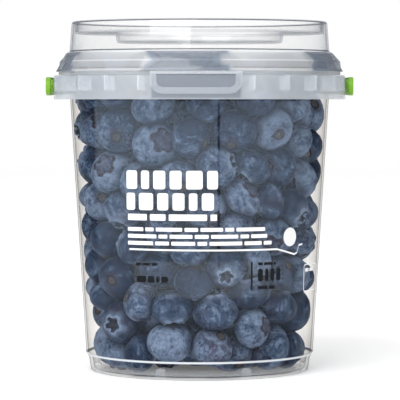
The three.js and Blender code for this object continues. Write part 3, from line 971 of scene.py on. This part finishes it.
def tear_tab():
    """The tab's raised frame, modelled flat and then bent round the collar."""
    half = TAB_WIDTH / 2 * MM
    bottom = TAB_BOTTOM * MM
    tab = sheet("tear_tab", -TAB_WIDTH / 2, TAB_WIDTH / 2, TAB_BOTTOM, TAB_TOP)
    pick(tab, "VERT", lambda place: place.z < bottom + MM)
    bpy.ops.mesh.bevel(offset=TAB_ROUND * MM, segments=6, affect="VERTICES")
    pick_all("FACE")
    bpy.ops.mesh.inset(thickness=TAB_BORDER * MM)
    bpy.ops.mesh.delete(type="FACE")
    inner_top = (TAB_TOP - TAB_BORDER) * MM
    pick(tab, "VERT", lambda place: abs(place.z - inner_top) < 0.1 * MM and abs(place.x) < half - MM)
    bpy.ops.transform.translate(value=(0, 0, (TAB_BORDER - TAB_TOP_BORDER) * MM))
    slice_across(np.arange(-TAB_WIDTH / 2 + TAB_SLICE, TAB_WIDTH / 2, TAB_SLICE))
    pick_all("FACE")
    thickness = (TAB_PROUD + COLLAR_WALL / 2) * MM
    bpy.ops.mesh.extrude_region_move(TRANSFORM_OT_translate={"value": (0, thickness, 0)})
    close_up(tab)
    outer = (COLLAR_RADIUS + TAB_PROUD) * MM
    for corner in tab.data.vertices:
        across, inwards, height = corner.co
        angle = asin(across / outer)
        radius = outer - inwards
        corner.co = (radius * sin(angle), -radius * cos(angle), height)
    take(tab)
    bpy.ops.object.modifier_add(type="BEVEL")
    bevel = tab.modifiers[-1]
    bevel.width = TAB_BEVEL * MM
    bevel.segments = 2
    bevel.limit_method = "ANGLE"
    bpy.ops.object.modifier_apply(modifier=bevel.name)
    return tab


def tub_collar(settings):
    """The milky collar: a web out from the wall, a skirt, the ribs and the tear tab."""
    skirt_inner = COLLAR_RADIUS - COLLAR_WALL
    web_inner = body_radius(COLLAR_TOP) + 0.02
    collar = turned_solid(
        "tub_collar",
        [
            (web_inner, COLLAR_TOP - 0.05, 0),
            (web_inner, COLLAR_TOP - WEB, 0),
            (skirt_inner, COLLAR_TOP - WEB, MOULD_ROUND),
            (skirt_inner, COLLAR_BOTTOM, MOULD_ROUND),
            (COLLAR_RADIUS, COLLAR_BOTTOM, MOULD_ROUND),
            (COLLAR_RADIUS, COLLAR_TOP - 0.05, 2 * MOULD_ROUND),
        ],
    )
    inside = skirt_inner - 1
    outside = COLLAR_RADIUS + 1
    cut(collar, [rod_across(HOLE_RADIUS, side * inside, side * outside) for side in (-1, 1)])
    dress(collar, milky_plastic("milky_skirt_plastic", settings, settings.skirt_milk, settings.tab_shade_cover))
    tab = dress(tear_tab(), milky_plastic("milky_tab_plastic", settings, settings.frame_milk))
    rib_plastic = milky_plastic("milky_rib_plastic", settings, settings.rib_milk)
    ribs = [dress(rib, rib_plastic) for rib in collar_ribs()]
    return smooth(joined("tub_collar", [collar, tab, *ribs]), 30)


# Lid


def lid_shell():
    """The stepped lid, spun pad by pad, with the pads pulled out of the sloping shoulder."""
    wall = LID_WALL
    slope = (SHOULDER_RADIUS - FLANGE_RADIUS) / (SHOULDER_HEIGHT - FLANGE_HEIGHT)
    ridge = FLANGE_RADIUS + (PAD_RIDGE_HEIGHT - FLANGE_HEIGHT) * slope
    pad_foot = FLANGE_RADIUS + (PAD_FOOT_HEIGHT - FLANGE_HEIGHT) * slope
    corners = [
        (0, WELL_FLOOR - wall, 0),
        (WELL_RADIUS, WELL_FLOOR - wall, 0.6),
        (WELL_RADIUS + wall, RECESS_FLOOR - wall, 0.6),
        (RECESS_RADIUS + wall, RECESS_FLOOR - wall, 0.2),
        (RECESS_RADIUS + wall, LID_TOP - wall, 0.2),
        (LID_TOP_RADIUS - wall, LID_TOP - wall, 0.2),
        (LID_FOOT_RADIUS - wall, LID_FOOT_HEIGHT - wall / 2, 0.4),
        (SHOULDER_RADIUS - wall, SHOULDER_HEIGHT - wall, 0.4),
        (RIM_RADIUS - CORNER - wall, RIM_TOP + RUNNING_GAP, 0.4),
        (RIM_RADIUS + RUNNING_GAP, RIM_TOP + RUNNING_GAP, 0),
        (RIM_RADIUS + RUNNING_GAP, FLANGE_HEIGHT, 0.2),
        (FLANGE_RADIUS, FLANGE_HEIGHT, 0.3),
        (pad_foot, PAD_FOOT_HEIGHT, 0),
        (ridge, PAD_RIDGE_HEIGHT, 0),
        (SHOULDER_RADIUS, SHOULDER_HEIGHT, 0.4),
        (LID_FOOT_RADIUS, LID_FOOT_HEIGHT, 0.4),
        (LID_TOP_RADIUS, LID_TOP, 1.0),
        (RECESS_RADIUS, LID_TOP, 0.8),
        (RECESS_RADIUS, RECESS_FLOOR, 0.5),
        (WELL_RADIUS, RECESS_FLOOR, 0.5),
        (WELL_RADIUS - wall, WELL_FLOOR, 0.5),
        (0, WELL_FLOOR, 0),
    ]
    pitch = 360 / PADS
    full = PAD_SPREAD / 2
    between = pitch - PAD_SPREAD - 2 * PAD_TIP
    lid = traced("lid_shell", corners, LID_TURN + pitch / 2)
    tip = (1, PAD_TIP)
    for _ in range(PADS):
        for steps, turn in ((PAD_STEPS, full), tip, (PAD_STEPS, between), tip, (PAD_STEPS, full)):
            spin(steps, turn)
    close_up(lid)
    bpy.ops.object.mode_set(mode="EDIT")

    def on_pad(place):
        across = (turn_of(place) - LID_TURN) % pitch - pitch / 2
        on_ridge = abs(place.z - PAD_RIDGE_HEIGHT * MM) < 0.05 * MM
        outside = hypot(place.x, place.y) > (ridge - PAD_SLACK) * MM
        return on_ridge and outside and abs(across) < full + PAD_SLACK

    pick(lid, "VERT", on_pad)
    pull = PAD_RIDGE_RADIUS / ridge
    bpy.ops.transform.resize(value=(pull, pull, 1), center_override=(0, 0, 0))
    bpy.ops.object.mode_set(mode="OBJECT")
    # Marks for painted light: the pads get a painted reflection of a soft light, and the shoulder between
    # them painted shade
    pads, gaps = [], []
    for corner in lid.data.vertices:
        across = (turn_of(corner.co) - LID_TURN) % pitch - pitch / 2
        height = corner.co.z / MM
        outside = hypot(corner.co.x, corner.co.y) > (LID_FOOT_RADIUS + 0.2) * MM
        under_top = height < SHOULDER_HEIGHT + PAD_SLACK
        on_pad_height = PAD_FOOT_HEIGHT - PAD_SLACK < height and under_top
        on_shoulder = FLANGE_HEIGHT + PAD_SLACK < height and under_top
        reach = full + PAD_TIP if abs(height - PAD_RIDGE_HEIGHT) < PAD_SLACK else full
        pads.append(abs(across) < reach + PAD_SLACK and on_pad_height and outside)
        gaps.append(abs(across) > reach - PAD_SLACK and on_shoulder and outside)
    mark(lid, "pad", pads)
    mark(lid, "gap", gaps)
    return smooth(lid, 30)


# Handle


def strap_half_height(turn):
    """Half the strap's height at a turn from the front: round at its ends, slimmer across the back."""
    beyond = radians(90 - abs(turn)) * STRAP_INNER
    if beyond > 0:
        return sqrt(max(STRAP_TIP_HALF**2, STRAP_HALF**2 - beyond**2))
    share = min(1, -beyond / STRAP_SLIMS_OVER)
    return STRAP_HALF + (STRAP_HALF_BACK - STRAP_HALF) * share


def green_handle():
    """The strap round the back, and at each end a boss, a pin through the collar and its head."""
    end_turn = degrees(STRAP_HALF / STRAP_INNER)
    corners = [
        (STRAP_INNER, PIVOT_HEIGHT - STRAP_HALF, STRAP_EDGE / 2),
        (STRAP_OUTER, PIVOT_HEIGHT - STRAP_HALF, STRAP_EDGE),
        (STRAP_OUTER, PIVOT_HEIGHT + STRAP_HALF, STRAP_EDGE),
        (STRAP_INNER, PIVOT_HEIGHT + STRAP_HALF, STRAP_EDGE / 2),
    ]
    strap = traced("green_handle", corners, 90 - end_turn)
    for steps, turn in ((STRAP_END_STEPS, end_turn), (STRAP_STEPS, 180), (STRAP_END_STEPS, end_turn)):
        spin(steps, turn)
    close_up(strap)
    bpy.ops.object.mode_set(mode="EDIT")
    bpy.ops.mesh.select_mode(type="EDGE")
    bpy.ops.mesh.select_all(action="DESELECT")
    bpy.ops.mesh.select_non_manifold()
    bpy.ops.mesh.edge_face_add()
    bpy.ops.mesh.select_all(action="SELECT")
    bpy.ops.mesh.normals_make_consistent(inside=False)
    bpy.ops.object.mode_set(mode="OBJECT")
    for corner in strap.data.vertices:
        factor = strap_half_height(turn_of(corner.co)) / STRAP_HALF
        corner.co.z = PIVOT_HEIGHT * MM + (corner.co.z - PIVOT_HEIGHT * MM) * factor
    in_strap = (STRAP_INNER + STRAP_OUTER) / 2
    head_outer = COLLAR_RADIUS - COLLAR_WALL - RUNNING_GAP
    rods = (
        (BOSS_RADIUS, COLLAR_RADIUS + RUNNING_GAP, in_strap, 0),
        (PIN_RADIUS, head_outer - HEAD_LENGTH / 2, in_strap, 0),
        (HEAD_RADIUS, head_outer - HEAD_LENGTH, head_outer, HEAD_BEVEL),
    )
    fittings = [
        rod_across(radius, side * start, side * end, bevel=bevel)
        for side in (-1, 1)
        for radius, start, end, bevel in rods
    ]
    return smooth(joined("green_handle", [strap, *fittings]), 35)


# Berries


def seeded_random(seed):
    """A repeatable draw of numbers from 0 to 1."""
    state = seed
    while True:
        state = (state * 1664525 + 1013904223) % 2**32
        yield state / 2**32


def room_radius(height):
    """The free radius inside the tub at each height."""
    foot = FOOT_RADIUS - FOOT_WALL - BERRY_GAP
    return np.where(height > RIDGE_HEIGHT, inner_radius(height) - BERRY_GAP, foot)


def scattered_berries():
    """Places, axes, half widths and half thicknesses before the berries settle."""
    draws = seeded_random(BERRY_SEED)

    def between(low, high):
        return low + (high - low) * next(draws)

    places, axes, wides, thicks = [], [], [], []
    for right, height, width, end_right, end_up, _ in FRONT_BERRIES:
        wide = width / 2
        towards = sqrt(max(0, 1 - end_right**2 - end_up**2))
        away = sqrt((float(room_radius(height)) - wide) ** 2 - right**2)
        axis = np.array((end_right, -towards, end_up))
        places.append((right, -away, height))
        axes.append(axis / np.linalg.norm(axis))
        wides.append(wide)
        thicks.append(wide * between(*BERRY_FLATNESS))
    while len(places) < BERRIES:
        share = len(places) / BERRIES
        wide = between(*BERRY_WIDTHS) / 2
        turn = radians(360 * next(draws))
        out = next(draws) ** OUTER_SHARE * (inner_radius(0) - wide)
        up = 2 * next(draws) - 1
        swing = 2 * pi * next(draws)
        level = sqrt(1 - up**2)
        height = FLOOR + wide + share * (HEAP_TOP - 2 * wide)
        places.append((out * sin(turn), -out * cos(turn), height))
        axes.append((level * cos(swing), level * sin(swing), up))
        wides.append(wide)
        thicks.append(wide * between(*BERRY_FLATNESS))
    return [np.array(values, float) for values in (places, axes, wides, thicks)]


def push_apart(places, axes, wides, thicks, grown):
    """Moves every two berries that overlap apart by equal shares."""
    apart = places[:, None] - places[None]
    distance = np.sqrt((apart**2).sum(axis=2))
    np.fill_diagonal(distance, np.inf)
    apart /= distance[:, :, None]
    across = np.einsum("ijk,ik->ij", apart, axes) ** 2
    reach = 1 / np.sqrt((1 - across) / wides[:, None] ** 2 + across / thicks[:, None] ** 2)
    overlap = np.maximum(grown * (reach + reach.T) - distance, 0)
    return places + PUSH * (overlap[:, :, None] * apart).sum(axis=1)


def keep_inside(places, axes, wides, thicks, grown):
    """Keeps the berries inside the tub and the lid."""
    out = np.hypot(places[:, 0], places[:, 1])
    outwards = places[:, :2] / out[:, None]
    side_across = (axes[:, :2] * outwards).sum(axis=1) ** 2
    side = grown * np.sqrt((1 - side_across) * wides**2 + side_across * thicks**2)
    up_across = axes[:, 2] ** 2
    tall = grown * np.sqrt((1 - up_across) * wides**2 + up_across * thicks**2)
    room = out
    for flank in FLANKS:
        room = np.minimum(room, room_radius(places[:, 2] - flank * tall) - side * sqrt(1 - flank**2))
    height = np.maximum(places[:, 2], FLOOR + BERRY_GAP + tall)
    height = np.minimum(height, HEAP_TOP - tall)
    return np.column_stack((outwards * room[:, None], height))


def settled_berries():
    places, axes, wides, thicks = scattered_berries()
    shown = len(FRONT_BERRIES)
    aims = places[:shown].copy()
    for step in range(SETTLE_STEPS):
        share = step / SETTLE_STEPS
        drifting = share < DRIFT_UNTIL
        grown = GROWN_AT_START + (1 - GROWN_AT_START) * min(1, share / FULL_GROWN_AT)
        places = push_apart(places, axes, wides, thicks, grown)
        if drifting:
            out = np.hypot(places[:, 0], places[:, 1])
            places[:, :2] += SPREAD * places[:, :2] / out[:, None]
            places[:, 2] -= SINK
        pull = AIM_PULL if drifting else LATE_AIM_PULL
        places[:shown] += (aims - places[:shown]) * pull
        places = keep_inside(places, axes, wides, thicks, grown)
    return places, axes, wides, thicks


def with_middle(places, axes, wides, thicks):
    """Adds the berries on top of the core, which settle among the others, held still."""
    draws = seeded_random(BERRY_SEED + 2)
    shown = len(places)
    for ring, count in enumerate(MIDDLE_RINGS):
        for i in range(count):
            turn = 2 * pi * (i + next(draws) / 2) / count
            out = ring * MIDDLE_STEP
            wide = (BERRY_WIDTHS[0] + 2 * next(draws)) / 2
            lean = 2 * pi * next(draws)
            up = next(draws)
            level = sqrt(1 - up**2)
            places = np.vstack((places, (out * sin(turn), out * cos(turn), MIDDLE_HEIGHTS[0])))
            axes = np.vstack((axes, (level * cos(lean), level * sin(lean), up)))
            wides = np.append(wides, wide)
            thicks = np.append(thicks, wide * sum(BERRY_FLATNESS) / 2)
    for _ in range(MIDDLE_SETTLE_STEPS):
        places[shown:] = push_apart(places, axes, wides, thicks, 1.0)[shown:]
        places[shown:, 2] = np.clip(places[shown:, 2], *MIDDLE_HEIGHTS)
    return places, axes, wides, thicks


def inset_steps(steps):
    """Insets the selected cap step by step, by (thickness, depth), and closes it in a fan."""
    for thickness, depth in steps:
        bpy.ops.mesh.inset(thickness=thickness, depth=depth)
    bpy.ops.mesh.poke()


def one_berry(name, crown):
    """A berry of radius 1 standing on its stem's scar, with a five-lobed crown of a given radius on top."""
    clear_selection()
    bpy.ops.mesh.primitive_uv_sphere_add(segments=20, ring_count=12, radius=1)
    berry = named(name)
    bpy.ops.object.mode_set(mode="EDIT")
    pick(berry, "FACE", lambda place: place.z > cos(radians(CROWN_CAP + 1)))
    bpy.ops.mesh.dissolve_faces()
    ring = sin(radians(CROWN_CAP))
    lift = sqrt(1 - crown**2) - cos(radians(CROWN_CAP))
    steps = (
        ((ring - crown) * 0.97, lift),
        (0.015, 0.07),
        (0.05, 0.01),
        (0.04, -0.15),
        (crown * 0.35, -0.03),
        (crown * 0.2, 0.05),
    )
    inset_steps(steps)
    rim = sqrt(1 - crown**2) + 0.04

    def on_rim(place, sign):
        return place.z > rim and sign * cos(5 * atan2(place.y, place.x)) > 0.5

    pick(berry, "VERT", lambda place: on_rim(place, -1))
    bpy.ops.transform.resize(value=(0.8, 0.8, 1), center_override=(0, 0, 0))
    bpy.ops.transform.translate(value=(0, 0, -0.07))
    pick(berry, "VERT", lambda place: on_rim(place, 1))
    bpy.ops.transform.resize(value=(1.16, 1.16, 1), center_override=(0, 0, 0))
    pick(berry, "FACE", lambda place: place.z < -cos(radians(STEM_CAP)))
    bpy.ops.mesh.dissolve_faces()
    inset_steps(((0.1, 0.02), (0.035, -0.05), (0.05, -0.01)))
    close_up(berry)
    own = berry.data.attributes.new("own", "FLOAT_VECTOR", "POINT")
    for corner, value in zip(berry.data.vertices, own.data):
        value.vector = corner.co
    mark(berry, "crown", [crown] * len(berry.data.vertices))
    take(berry)
    bpy.ops.object.shade_smooth()
    return berry


def closeness(points, own, places, axes, wides, thicks):
    """How nearly points on a berry touch another one, from 0, well clear, to 1, touching."""
    clear = np.full(len(points), np.inf)
    near = np.linalg.norm(places - places[own], axis=1) < wides[own] + max(wides) + TOUCH_REACH
    near[own] = False
    for other in np.flatnonzero(near):
        apart = points - places[other]
        distance = np.linalg.norm(apart, axis=1)
        across = (apart @ axes[other] / distance) ** 2
        reach = 1 / np.sqrt((1 - across) / wides[other] ** 2 + across / thicks[other] ** 2)
        clear = np.minimum(clear, distance - reach)
    return np.clip(1 - clear / TOUCH_REACH, 0, 1)


def berry_heap():
    """Every berry of the heap, as a joined copy of one of three kinds."""
    places, axes, wides, thicks = with_middle(*settled_berries())
    kinds = [one_berry(f"berry_{i}", crown) for i, crown in enumerate(CROWNS)]
    draws = seeded_random(BERRY_SEED + 1)
    copies = []
    for i, (place, axis, wide, thick) in enumerate(zip(places, axes, wides, thicks)):
        kind = kinds[int(next(draws) * len(kinds))]
        own_spin = 2 * pi * next(draws)
        tone = next(draws)
        if i < len(FRONT_BERRIES):
            way = FRONT_BERRIES[i][5]
        else:
            way = 1 if next(draws) < CROWN_OUT_SHARE else -1
        turn = Vector((0, 0, 1)).rotation_difference(Vector(axis) * way).to_matrix().to_4x4()
        size = Matrix.Diagonal((wide * MM, wide * MM, thick * MM, 1))
        spot = Matrix.Translation(Vector(place) * MM)
        copy = kind.copy()
        copy.data = kind.data.copy()
        copy.data.transform(spot @ turn @ Matrix.Rotation(own_spin, 4, "Z") @ size)
        points = np.array([corner.co for corner in copy.data.vertices]) / MM
        mark(copy, "tone", [tone] * len(points))
        # How near each point comes to another berry, which darkens it: partly rubbed bloom, partly painted
        # shade
        mark(copy, "touch", closeness(points, i, places, axes, wides, thicks))
        bpy.context.scene.collection.objects.link(copy)
        copies.append(copy)
    for kind in kinds:
        bpy.data.objects.remove(kind)
    return joined("berry_heap", copies)


def heap_core():
    """The dark middle of the heap, behind the berries that show: a solid painted dark as painted shade for
    the berries deeper in.
    """
    corners = [
        (0, CORE_BOTTOM, 0),
        (CORE_RADIUS, CORE_BOTTOM, CORE_ROUND),
        (CORE_RADIUS, CORE_TOP, CORE_ROUND),
        (0, CORE_TOP, 0),
    ]
    return smooth(turned_solid("heap_core", corners, CORE_STEPS))


# Print


def flat_block(left, right, low, high, rounding=0.3):
    """A flat block that faces the front, with rounded corners, left in edit mode."""
    obj = sheet("block", left, right, low, high)
    bpy.ops.mesh.select_mode(type="VERT")
    bpy.ops.mesh.bevel(offset=rounding * MM, segments=3, affect="VERTICES")
    return obj


def block(left, right, low, high, rounding=0.3):
    obj = flat_block(left, right, low, high, rounding)
    bpy.ops.object.mode_set(mode="OBJECT")
    return obj


def row_of_blocks(left, right, low, high, shares, gap, rounding=0.3):
    """A row of blocks whose widths follow shares, with equal gaps between them."""
    unit = (right - left - gap * (len(shares) - 1)) / sum(shares)
    blocks = []
    for share in shares:
        blocks.append(block(left, left + share * unit, low, high, min(rounding, (high - low) / 4)))
        left += share * unit + gap
    return blocks


def outlined_box(left, right, low, high, line):
    obj = flat_block(left, right, low, high, 1.2)
    pick_all("FACE")
    bpy.ops.mesh.inset(thickness=line * MM)
    bpy.ops.mesh.delete(type="FACE")
    bpy.ops.object.mode_set(mode="OBJECT")
    return obj


def ruled_line(points, line):
    """A thin line through (distance round, height) points."""
    clear_selection()
    obj = chain([Vector((along * MM, 0, height * MM)) for along, height in points])
    pick_all("EDGE")
    bpy.ops.mesh.extrude_region_move(TRANSFORM_OT_translate={"value": (0, 0, line * MM)})
    bpy.ops.object.mode_set(mode="OBJECT")
    return obj


def dot(along, height, radius):
    clear_selection()
    bpy.ops.mesh.primitive_circle_add(
        vertices=32, radius=radius * MM, fill_type="NGON", location=(along * MM, 0, height * MM),
        rotation=(pi / 2, 0, 0),
    )
    bpy.ops.object.transform_apply(location=True, rotation=True, scale=False)
    return bpy.context.active_object


def wrapped(name, pieces, proud):
    """Joins flat pieces, slices them finely and lays them round the tub's wall."""
    obj = joined(name, pieces)
    bpy.ops.object.mode_set(mode="EDIT")
    lengths = [corner.co.x / MM for corner in bmesh.from_edit_mesh(obj.data).verts]
    slice_across(np.arange(min(lengths) + PRINT_SLICE / 3, max(lengths), PRINT_SLICE))
    bpy.ops.object.mode_set(mode="OBJECT")
    for corner in obj.data.vertices:
        along, _, height = corner.co / MM
        radius = body_radius(height)
        corner.co = round_point(radius + proud, degrees(along / radius), height)
    mesh = bmesh.new()
    mesh.from_mesh(obj.data)
    for face in mesh.faces:
        centre = face.calc_center_median()
        if face.normal.dot(Vector((centre.x, centre.y, 0))) < 0:
            face.normal_flip()
    mesh.to_mesh(obj.data)
    mesh.free()
    return obj


def reflection_veil():
    """The two sheets of the painted reflection veil, whose faint haze softens the berries behind them."""
    radius = body_radius(VEIL_MIDDLE)
    sheets = [
        block(radians(left) * radius, radians(right) * radius, *VEIL_HEIGHTS, 0.5)
        for left, right in VEIL_TURNS
    ]
    veil = wrapped("reflection_veil", sheets, PRINT_PROUD / 3)
    take(veil)
    bpy.ops.object.shade_smooth()
    return veil


def white_print():
    """Rows of plain white blocks, a ruled line with a step, a dot and an outlined box."""
    left = PRINT_LEFT
    title = (1.0, 0.7, 1.0, 0.95, 1.3, 0.85)
    words = (4, 2, 6, 3, 5, 2, 7)
    line = [(left + 1.2, 50.9), (33.8, 50.7), (43.5, 48.3), (45.2, 48.9), (46.4, 51.8), (49.0, 52.1)]
    pieces = [
        *row_of_blocks(left, 8.3, 74.8, 82.0, title, 1.7, 0.9),
        *row_of_blocks(left, 6.7, 66.6, 73.3, title[::-1], 1.7, 0.9),
        *row_of_blocks(left + 0.6, 7.9, 62.6, 65.1, (4, 3, 7, 1.2), 1.3),
        *row_of_blocks(left + 0.5, 27.9, 58.4, 59.9, words, 0.9),
        *row_of_blocks(left + 0.5, 28.9, 55.7, 57.2, words[::-1], 0.9),
        *row_of_blocks(left + 0.5, 31.0, 53.0, 54.5, (*words[2:], *words[:2]), 0.9),
        ruled_line(line, 0.7),
        dot(40.8, 55.6, 3.7),
        outlined_box(50.6, 64.0, 33.2, 44.3, 0.45),
        *row_of_blocks(51.8, 60.0, 41.2, 42.6, (3, 4), 0.8),
    ]
    return wrapped("print_white", pieces, PRINT_PROUD)


def black_print():
    """Short black blocks and a thin upright line."""
    pieces = [
        *row_of_blocks(-24.8, -15.7, 45.0, 46.1, (2, 3, 2), 0.6),
        *row_of_blocks(-24.4, -11.3, 38.4, 40.9, (3, 2, 1, 2), 0.8, 0.6),
        block(21.7, 22.4, 35.0, 46.4, 0.1),
        *row_of_blocks(24.8, 33.3, 45.0, 46.1, (2, 4, 1), 0.6),
        *row_of_blocks(24.8, 35.5, 38.7, 43.6, (1.2, 0.8, 1, 1.1), 1.1, 0.7),
        *row_of_blocks(24.9, 32.6, 35.6, 36.9, (3, 2), 0.6),
    ]
    return wrapped("print_black", pieces, PRINT_PROUD)


def pale_field():
    return wrapped("print_field", [block(-26.0, 41.5, 32.6, 46.8, 0.5)], PRINT_PROUD / 2)


# Operators


class PUNNET_OT_tub_wall(bpy.types.Operator):
    """Model the clear wall of the tub with its notched foot and rim"""

    bl_idname = "punnet.tub_wall"
    bl_label = "Tub Wall"

    def execute(self, context):
        settings = context.scene.punnet.tub
        # The band at the ridge is a painted highlight line; the band at the rim is extra haze
        haze_and_highlights = [
            (RIDGE_HEIGHT - 0.25, RIDGE_HEIGHT + 0.2, settings.painted_highlight),
            (COLLAR_TOP - WEB, RIM_TOP, settings.rim_frost),
        ]
        # The notch marks paint highlights on the notches' sides
        marks = [("pad", settings.pad_highlight_colour, settings.painted_highlight)]
        wall = dress(tub_wall(), clear_plastic("clear_tub_plastic", settings, haze_and_highlights, marks))
        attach(wall, "pack")
        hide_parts("tub")
        return {"FINISHED"}


class PUNNET_OT_collar(bpy.types.Operator):
    """Model the milky collar with its ribs and tear tab"""

    bl_idname = "punnet.collar"
    bl_label = "Collar"

    def execute(self, context):
        collar = tub_collar(context.scene.punnet.tub)
        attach(collar, "pack")
        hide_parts("tub")
        return {"FINISHED"}


class PUNNET_OT_lid(bpy.types.Operator):
    """Model the stepped clear lid with its five pads"""

    bl_idname = "punnet.lid"
    bl_label = "Lid"

    def execute(self, context):
        settings = context.scene.punnet.lid
        # Bands by height: painted highlight lines along the flange, the pads' ridge and the step above the
        # shoulder, and haze over the whole shoulder
        haze_and_highlights = [
            (FLANGE_HEIGHT, FLANGE_HEIGHT + 0.8, settings.line_highlight),
            (PAD_RIDGE_HEIGHT - 0.1, PAD_RIDGE_HEIGHT + 0.1, settings.line_highlight),
            (SHOULDER_HEIGHT, LID_FOOT_HEIGHT - 0.3, settings.line_highlight),
            (FLANGE_HEIGHT, SHOULDER_HEIGHT, settings.shoulder_frost),
        ]
        # Painted dark lines at two moulded corners of the lid, standing in for refraction
        corners = (LID_FOOT_HEIGHT + 0.2, LID_TOP - 0.5)
        # Marks: a painted reflection on the pads, painted shade between them
        marks = [
            ("pad", settings.pad_highlight_colour, settings.painted_highlight),
            ("gap", settings.gap_shade, settings.gap_shade_cover),
        ]
        lid = dress(lid_shell(), clear_plastic("clear_lid_plastic", settings, haze_and_highlights, marks, corners))
        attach(lid, "pack")
        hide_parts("lid")
        return {"FINISHED"}


class PUNNET_OT_handle(bpy.types.Operator):
    """Model the green handle with its pins"""

    bl_idname = "punnet.handle"
    bl_label = "Handle"

    def execute(self, context):
        handle = dress(green_handle(), handle_plastic(context.scene.punnet.handle))
        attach(handle, "handle")
        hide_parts("handle")
        return {"FINISHED"}


class PUNNET_OT_berries(bpy.types.Operator):
    """Settle the blueberries in the tub and model them over a dark core"""

    bl_idname = "punnet.berries"
    bl_label = "Blueberries"

    def execute(self, context):
        core = dress(heap_core(), dark_heap())
        heap = dress(berry_heap(), berry_skin(context.scene.punnet.berries))
        for piece in (core, heap):
            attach(piece, "pack")
            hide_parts("blueberries")
        return {"FINISHED"}


class PUNNET_OT_print(bpy.types.Operator):
    """Lay the plain white and black print and its pale field on the wall"""

    bl_idname = "punnet.print"
    bl_label = "Print"

    def execute(self, context):
        settings = context.scene.punnet.ink
        layers = (
            # The first layer is the painted reflection veil
            (reflection_veil(), painted_veil(settings)),
            (white_print(), ink("white_ink", settings.white)),
            (black_print(), ink("black_ink", settings.black)),
            (pale_field(), ink("pale_ink", settings.field, settings.field_cover)),
        )
        for piece, material in layers:
            dress(piece, material)
            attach(piece, "pack")
        return {"FINISHED"}


class PUNNET_OT_stage(bpy.types.Operator):
    """Set up the floor, the soft light and the camera"""

    bl_idname = "punnet.stage"
    bl_label = "Stage"

    def execute(self, context):
        settings = context.scene.punnet.stage
        clear_selection()
        bpy.ops.mesh.primitive_plane_add(size=6)
        floor = dress(named("floor"), floor_paint(settings))
        context.scene.world = studio_room(settings)
        context.scene.view_settings.view_transform = "Standard"
        context.scene.cycles.transparent_max_bounces = TRANSPARENT_BOUNCES
        add_area_light("key", KEY_PLACE, KEY_SIZE, settings.key)
        add_camera(context, settings)
        return {"FINISHED"}


def studio_room(settings):
    """White panels in front, with a slit between two of them, a white ceiling and a white backdrop.
    The walls between the panels and the backdrop are dim."""
    world = bpy.data.worlds.new("studio_room")
    world.use_nodes = True
    nodes = Nodes(world.node_tree)
    across, back, up = nodes.parts_of(nodes.add("ShaderNodeTexCoord").outputs["Generated"])
    turn = nodes.math("ARCTAN2", across, nodes.math("MULTIPLY", back, -1.0))
    off_front = nodes.math("ABSOLUTE", turn)
    off_slit = nodes.math("ABSOLUTE", nodes.math("SUBTRACT", turn, radians(SLIT)))
    left, right, soft = (radians(angle) for angle in (*PANELS, PANEL_SOFTNESS))
    half_slit = radians(SLIT_WIDTH / 2)
    lit = nodes.math("MULTIPLY", nodes.ramp(turn, left - soft, left), nodes.ramp(turn, right + soft, right))
    lit = nodes.math("MULTIPLY", lit, nodes.ramp(off_slit, half_slit * SLIT_CORE, half_slit))
    lit = nodes.math("MAXIMUM", lit, nodes.ramp(off_front, *(radians(angle) for angle in BACKDROP)))
    lit = nodes.math("MAXIMUM", lit, nodes.ramp(up, *CEILING))
    lit = nodes.ramp(lit, 0.0, 1.0, settings.dim, 1.0)
    background = nodes.add("ShaderNodeBackground", {"Color": lit, "Strength": settings.sky})
    nodes.add("ShaderNodeOutputWorld", {"Surface": background.outputs[0]})
    return world


def aimed(obj, target):
    obj.rotation_euler = (Vector(target) - obj.location).to_track_quat("-Z", "Y").to_euler()
    return obj


def add_area_light(name, place, size, power):
    light = bpy.data.lights.new(name, "AREA")
    light.size = size
    light.energy = power
    obj = bpy.data.objects.new(name, light)
    obj.location = place
    bpy.context.scene.collection.objects.link(obj)
    return aimed(obj, KEY_AIM)


def add_camera(context, settings):
    camera = bpy.data.objects.new("camera", bpy.data.cameras.new("camera"))
    turn = settings.camera_turn
    distance = settings.camera_distance
    camera.location = (distance * sin(turn), -distance * cos(turn), settings.camera_height)
    camera.data.lens = settings.lens
    camera.data.sensor_width = SENSOR_WIDTH
    context.scene.collection.objects.link(camera)
    aimed(camera, CAMERA_AIM)
    context.scene.camera = camera


class PUNNET_PT_panel(bpy.types.Panel):
    """Lists the tub's pieces and their settings"""

    bl_idname = "PUNNET_PT_panel"
    bl_label = "Tub of Blueberries"
    bl_space_type = "VIEW_3D"
    bl_region_type = "UI"
    bl_category = "Berry Tub"

    def draw(self, context):
        for operator in OPERATORS:
            self.layout.operator(operator.bl_idname)
        settings = context.scene.punnet
        for group in ("tub", "lid", "handle", "berries", "ink", "stage"):
            box = self.layout.box()
            box.label(text=group.capitalize())
            part = getattr(settings, group)
            for key in part.__annotations__:
                box.prop(part, key)


OPERATORS = (
    PUNNET_OT_tub_wall,
    PUNNET_OT_collar,
    PUNNET_OT_lid,
    PUNNET_OT_handle,
    PUNNET_OT_berries,
    PUNNET_OT_print,
    PUNNET_OT_stage,
)
GROUPS = (
    TubSettings,
    LidSettings,
    HandleSettings,
    BerrySettings,
    PrintSettings,
    StageSettings,
    PunnetSettings,
)


def register():
    for kind in (*GROUPS, *OPERATORS, PUNNET_PT_panel):
        bpy.utils.register_class(kind)
    bpy.types.Scene.punnet = bpy.props.PointerProperty(type=PunnetSettings)


def unregister():
    del bpy.types.Scene.punnet
    for kind in reversed((*GROUPS, *OPERATORS, PUNNET_PT_panel)):
        bpy.utils.unregister_class(kind)


def main():
    register()
    bpy.ops.punnet.tub_wall()
    bpy.ops.punnet.collar()
    bpy.ops.punnet.lid()
    bpy.ops.punnet.handle()
    bpy.ops.punnet.berries()
    bpy.ops.punnet.print()
    bpy.ops.punnet.stage()


if __name__ == "__main__":
    main()
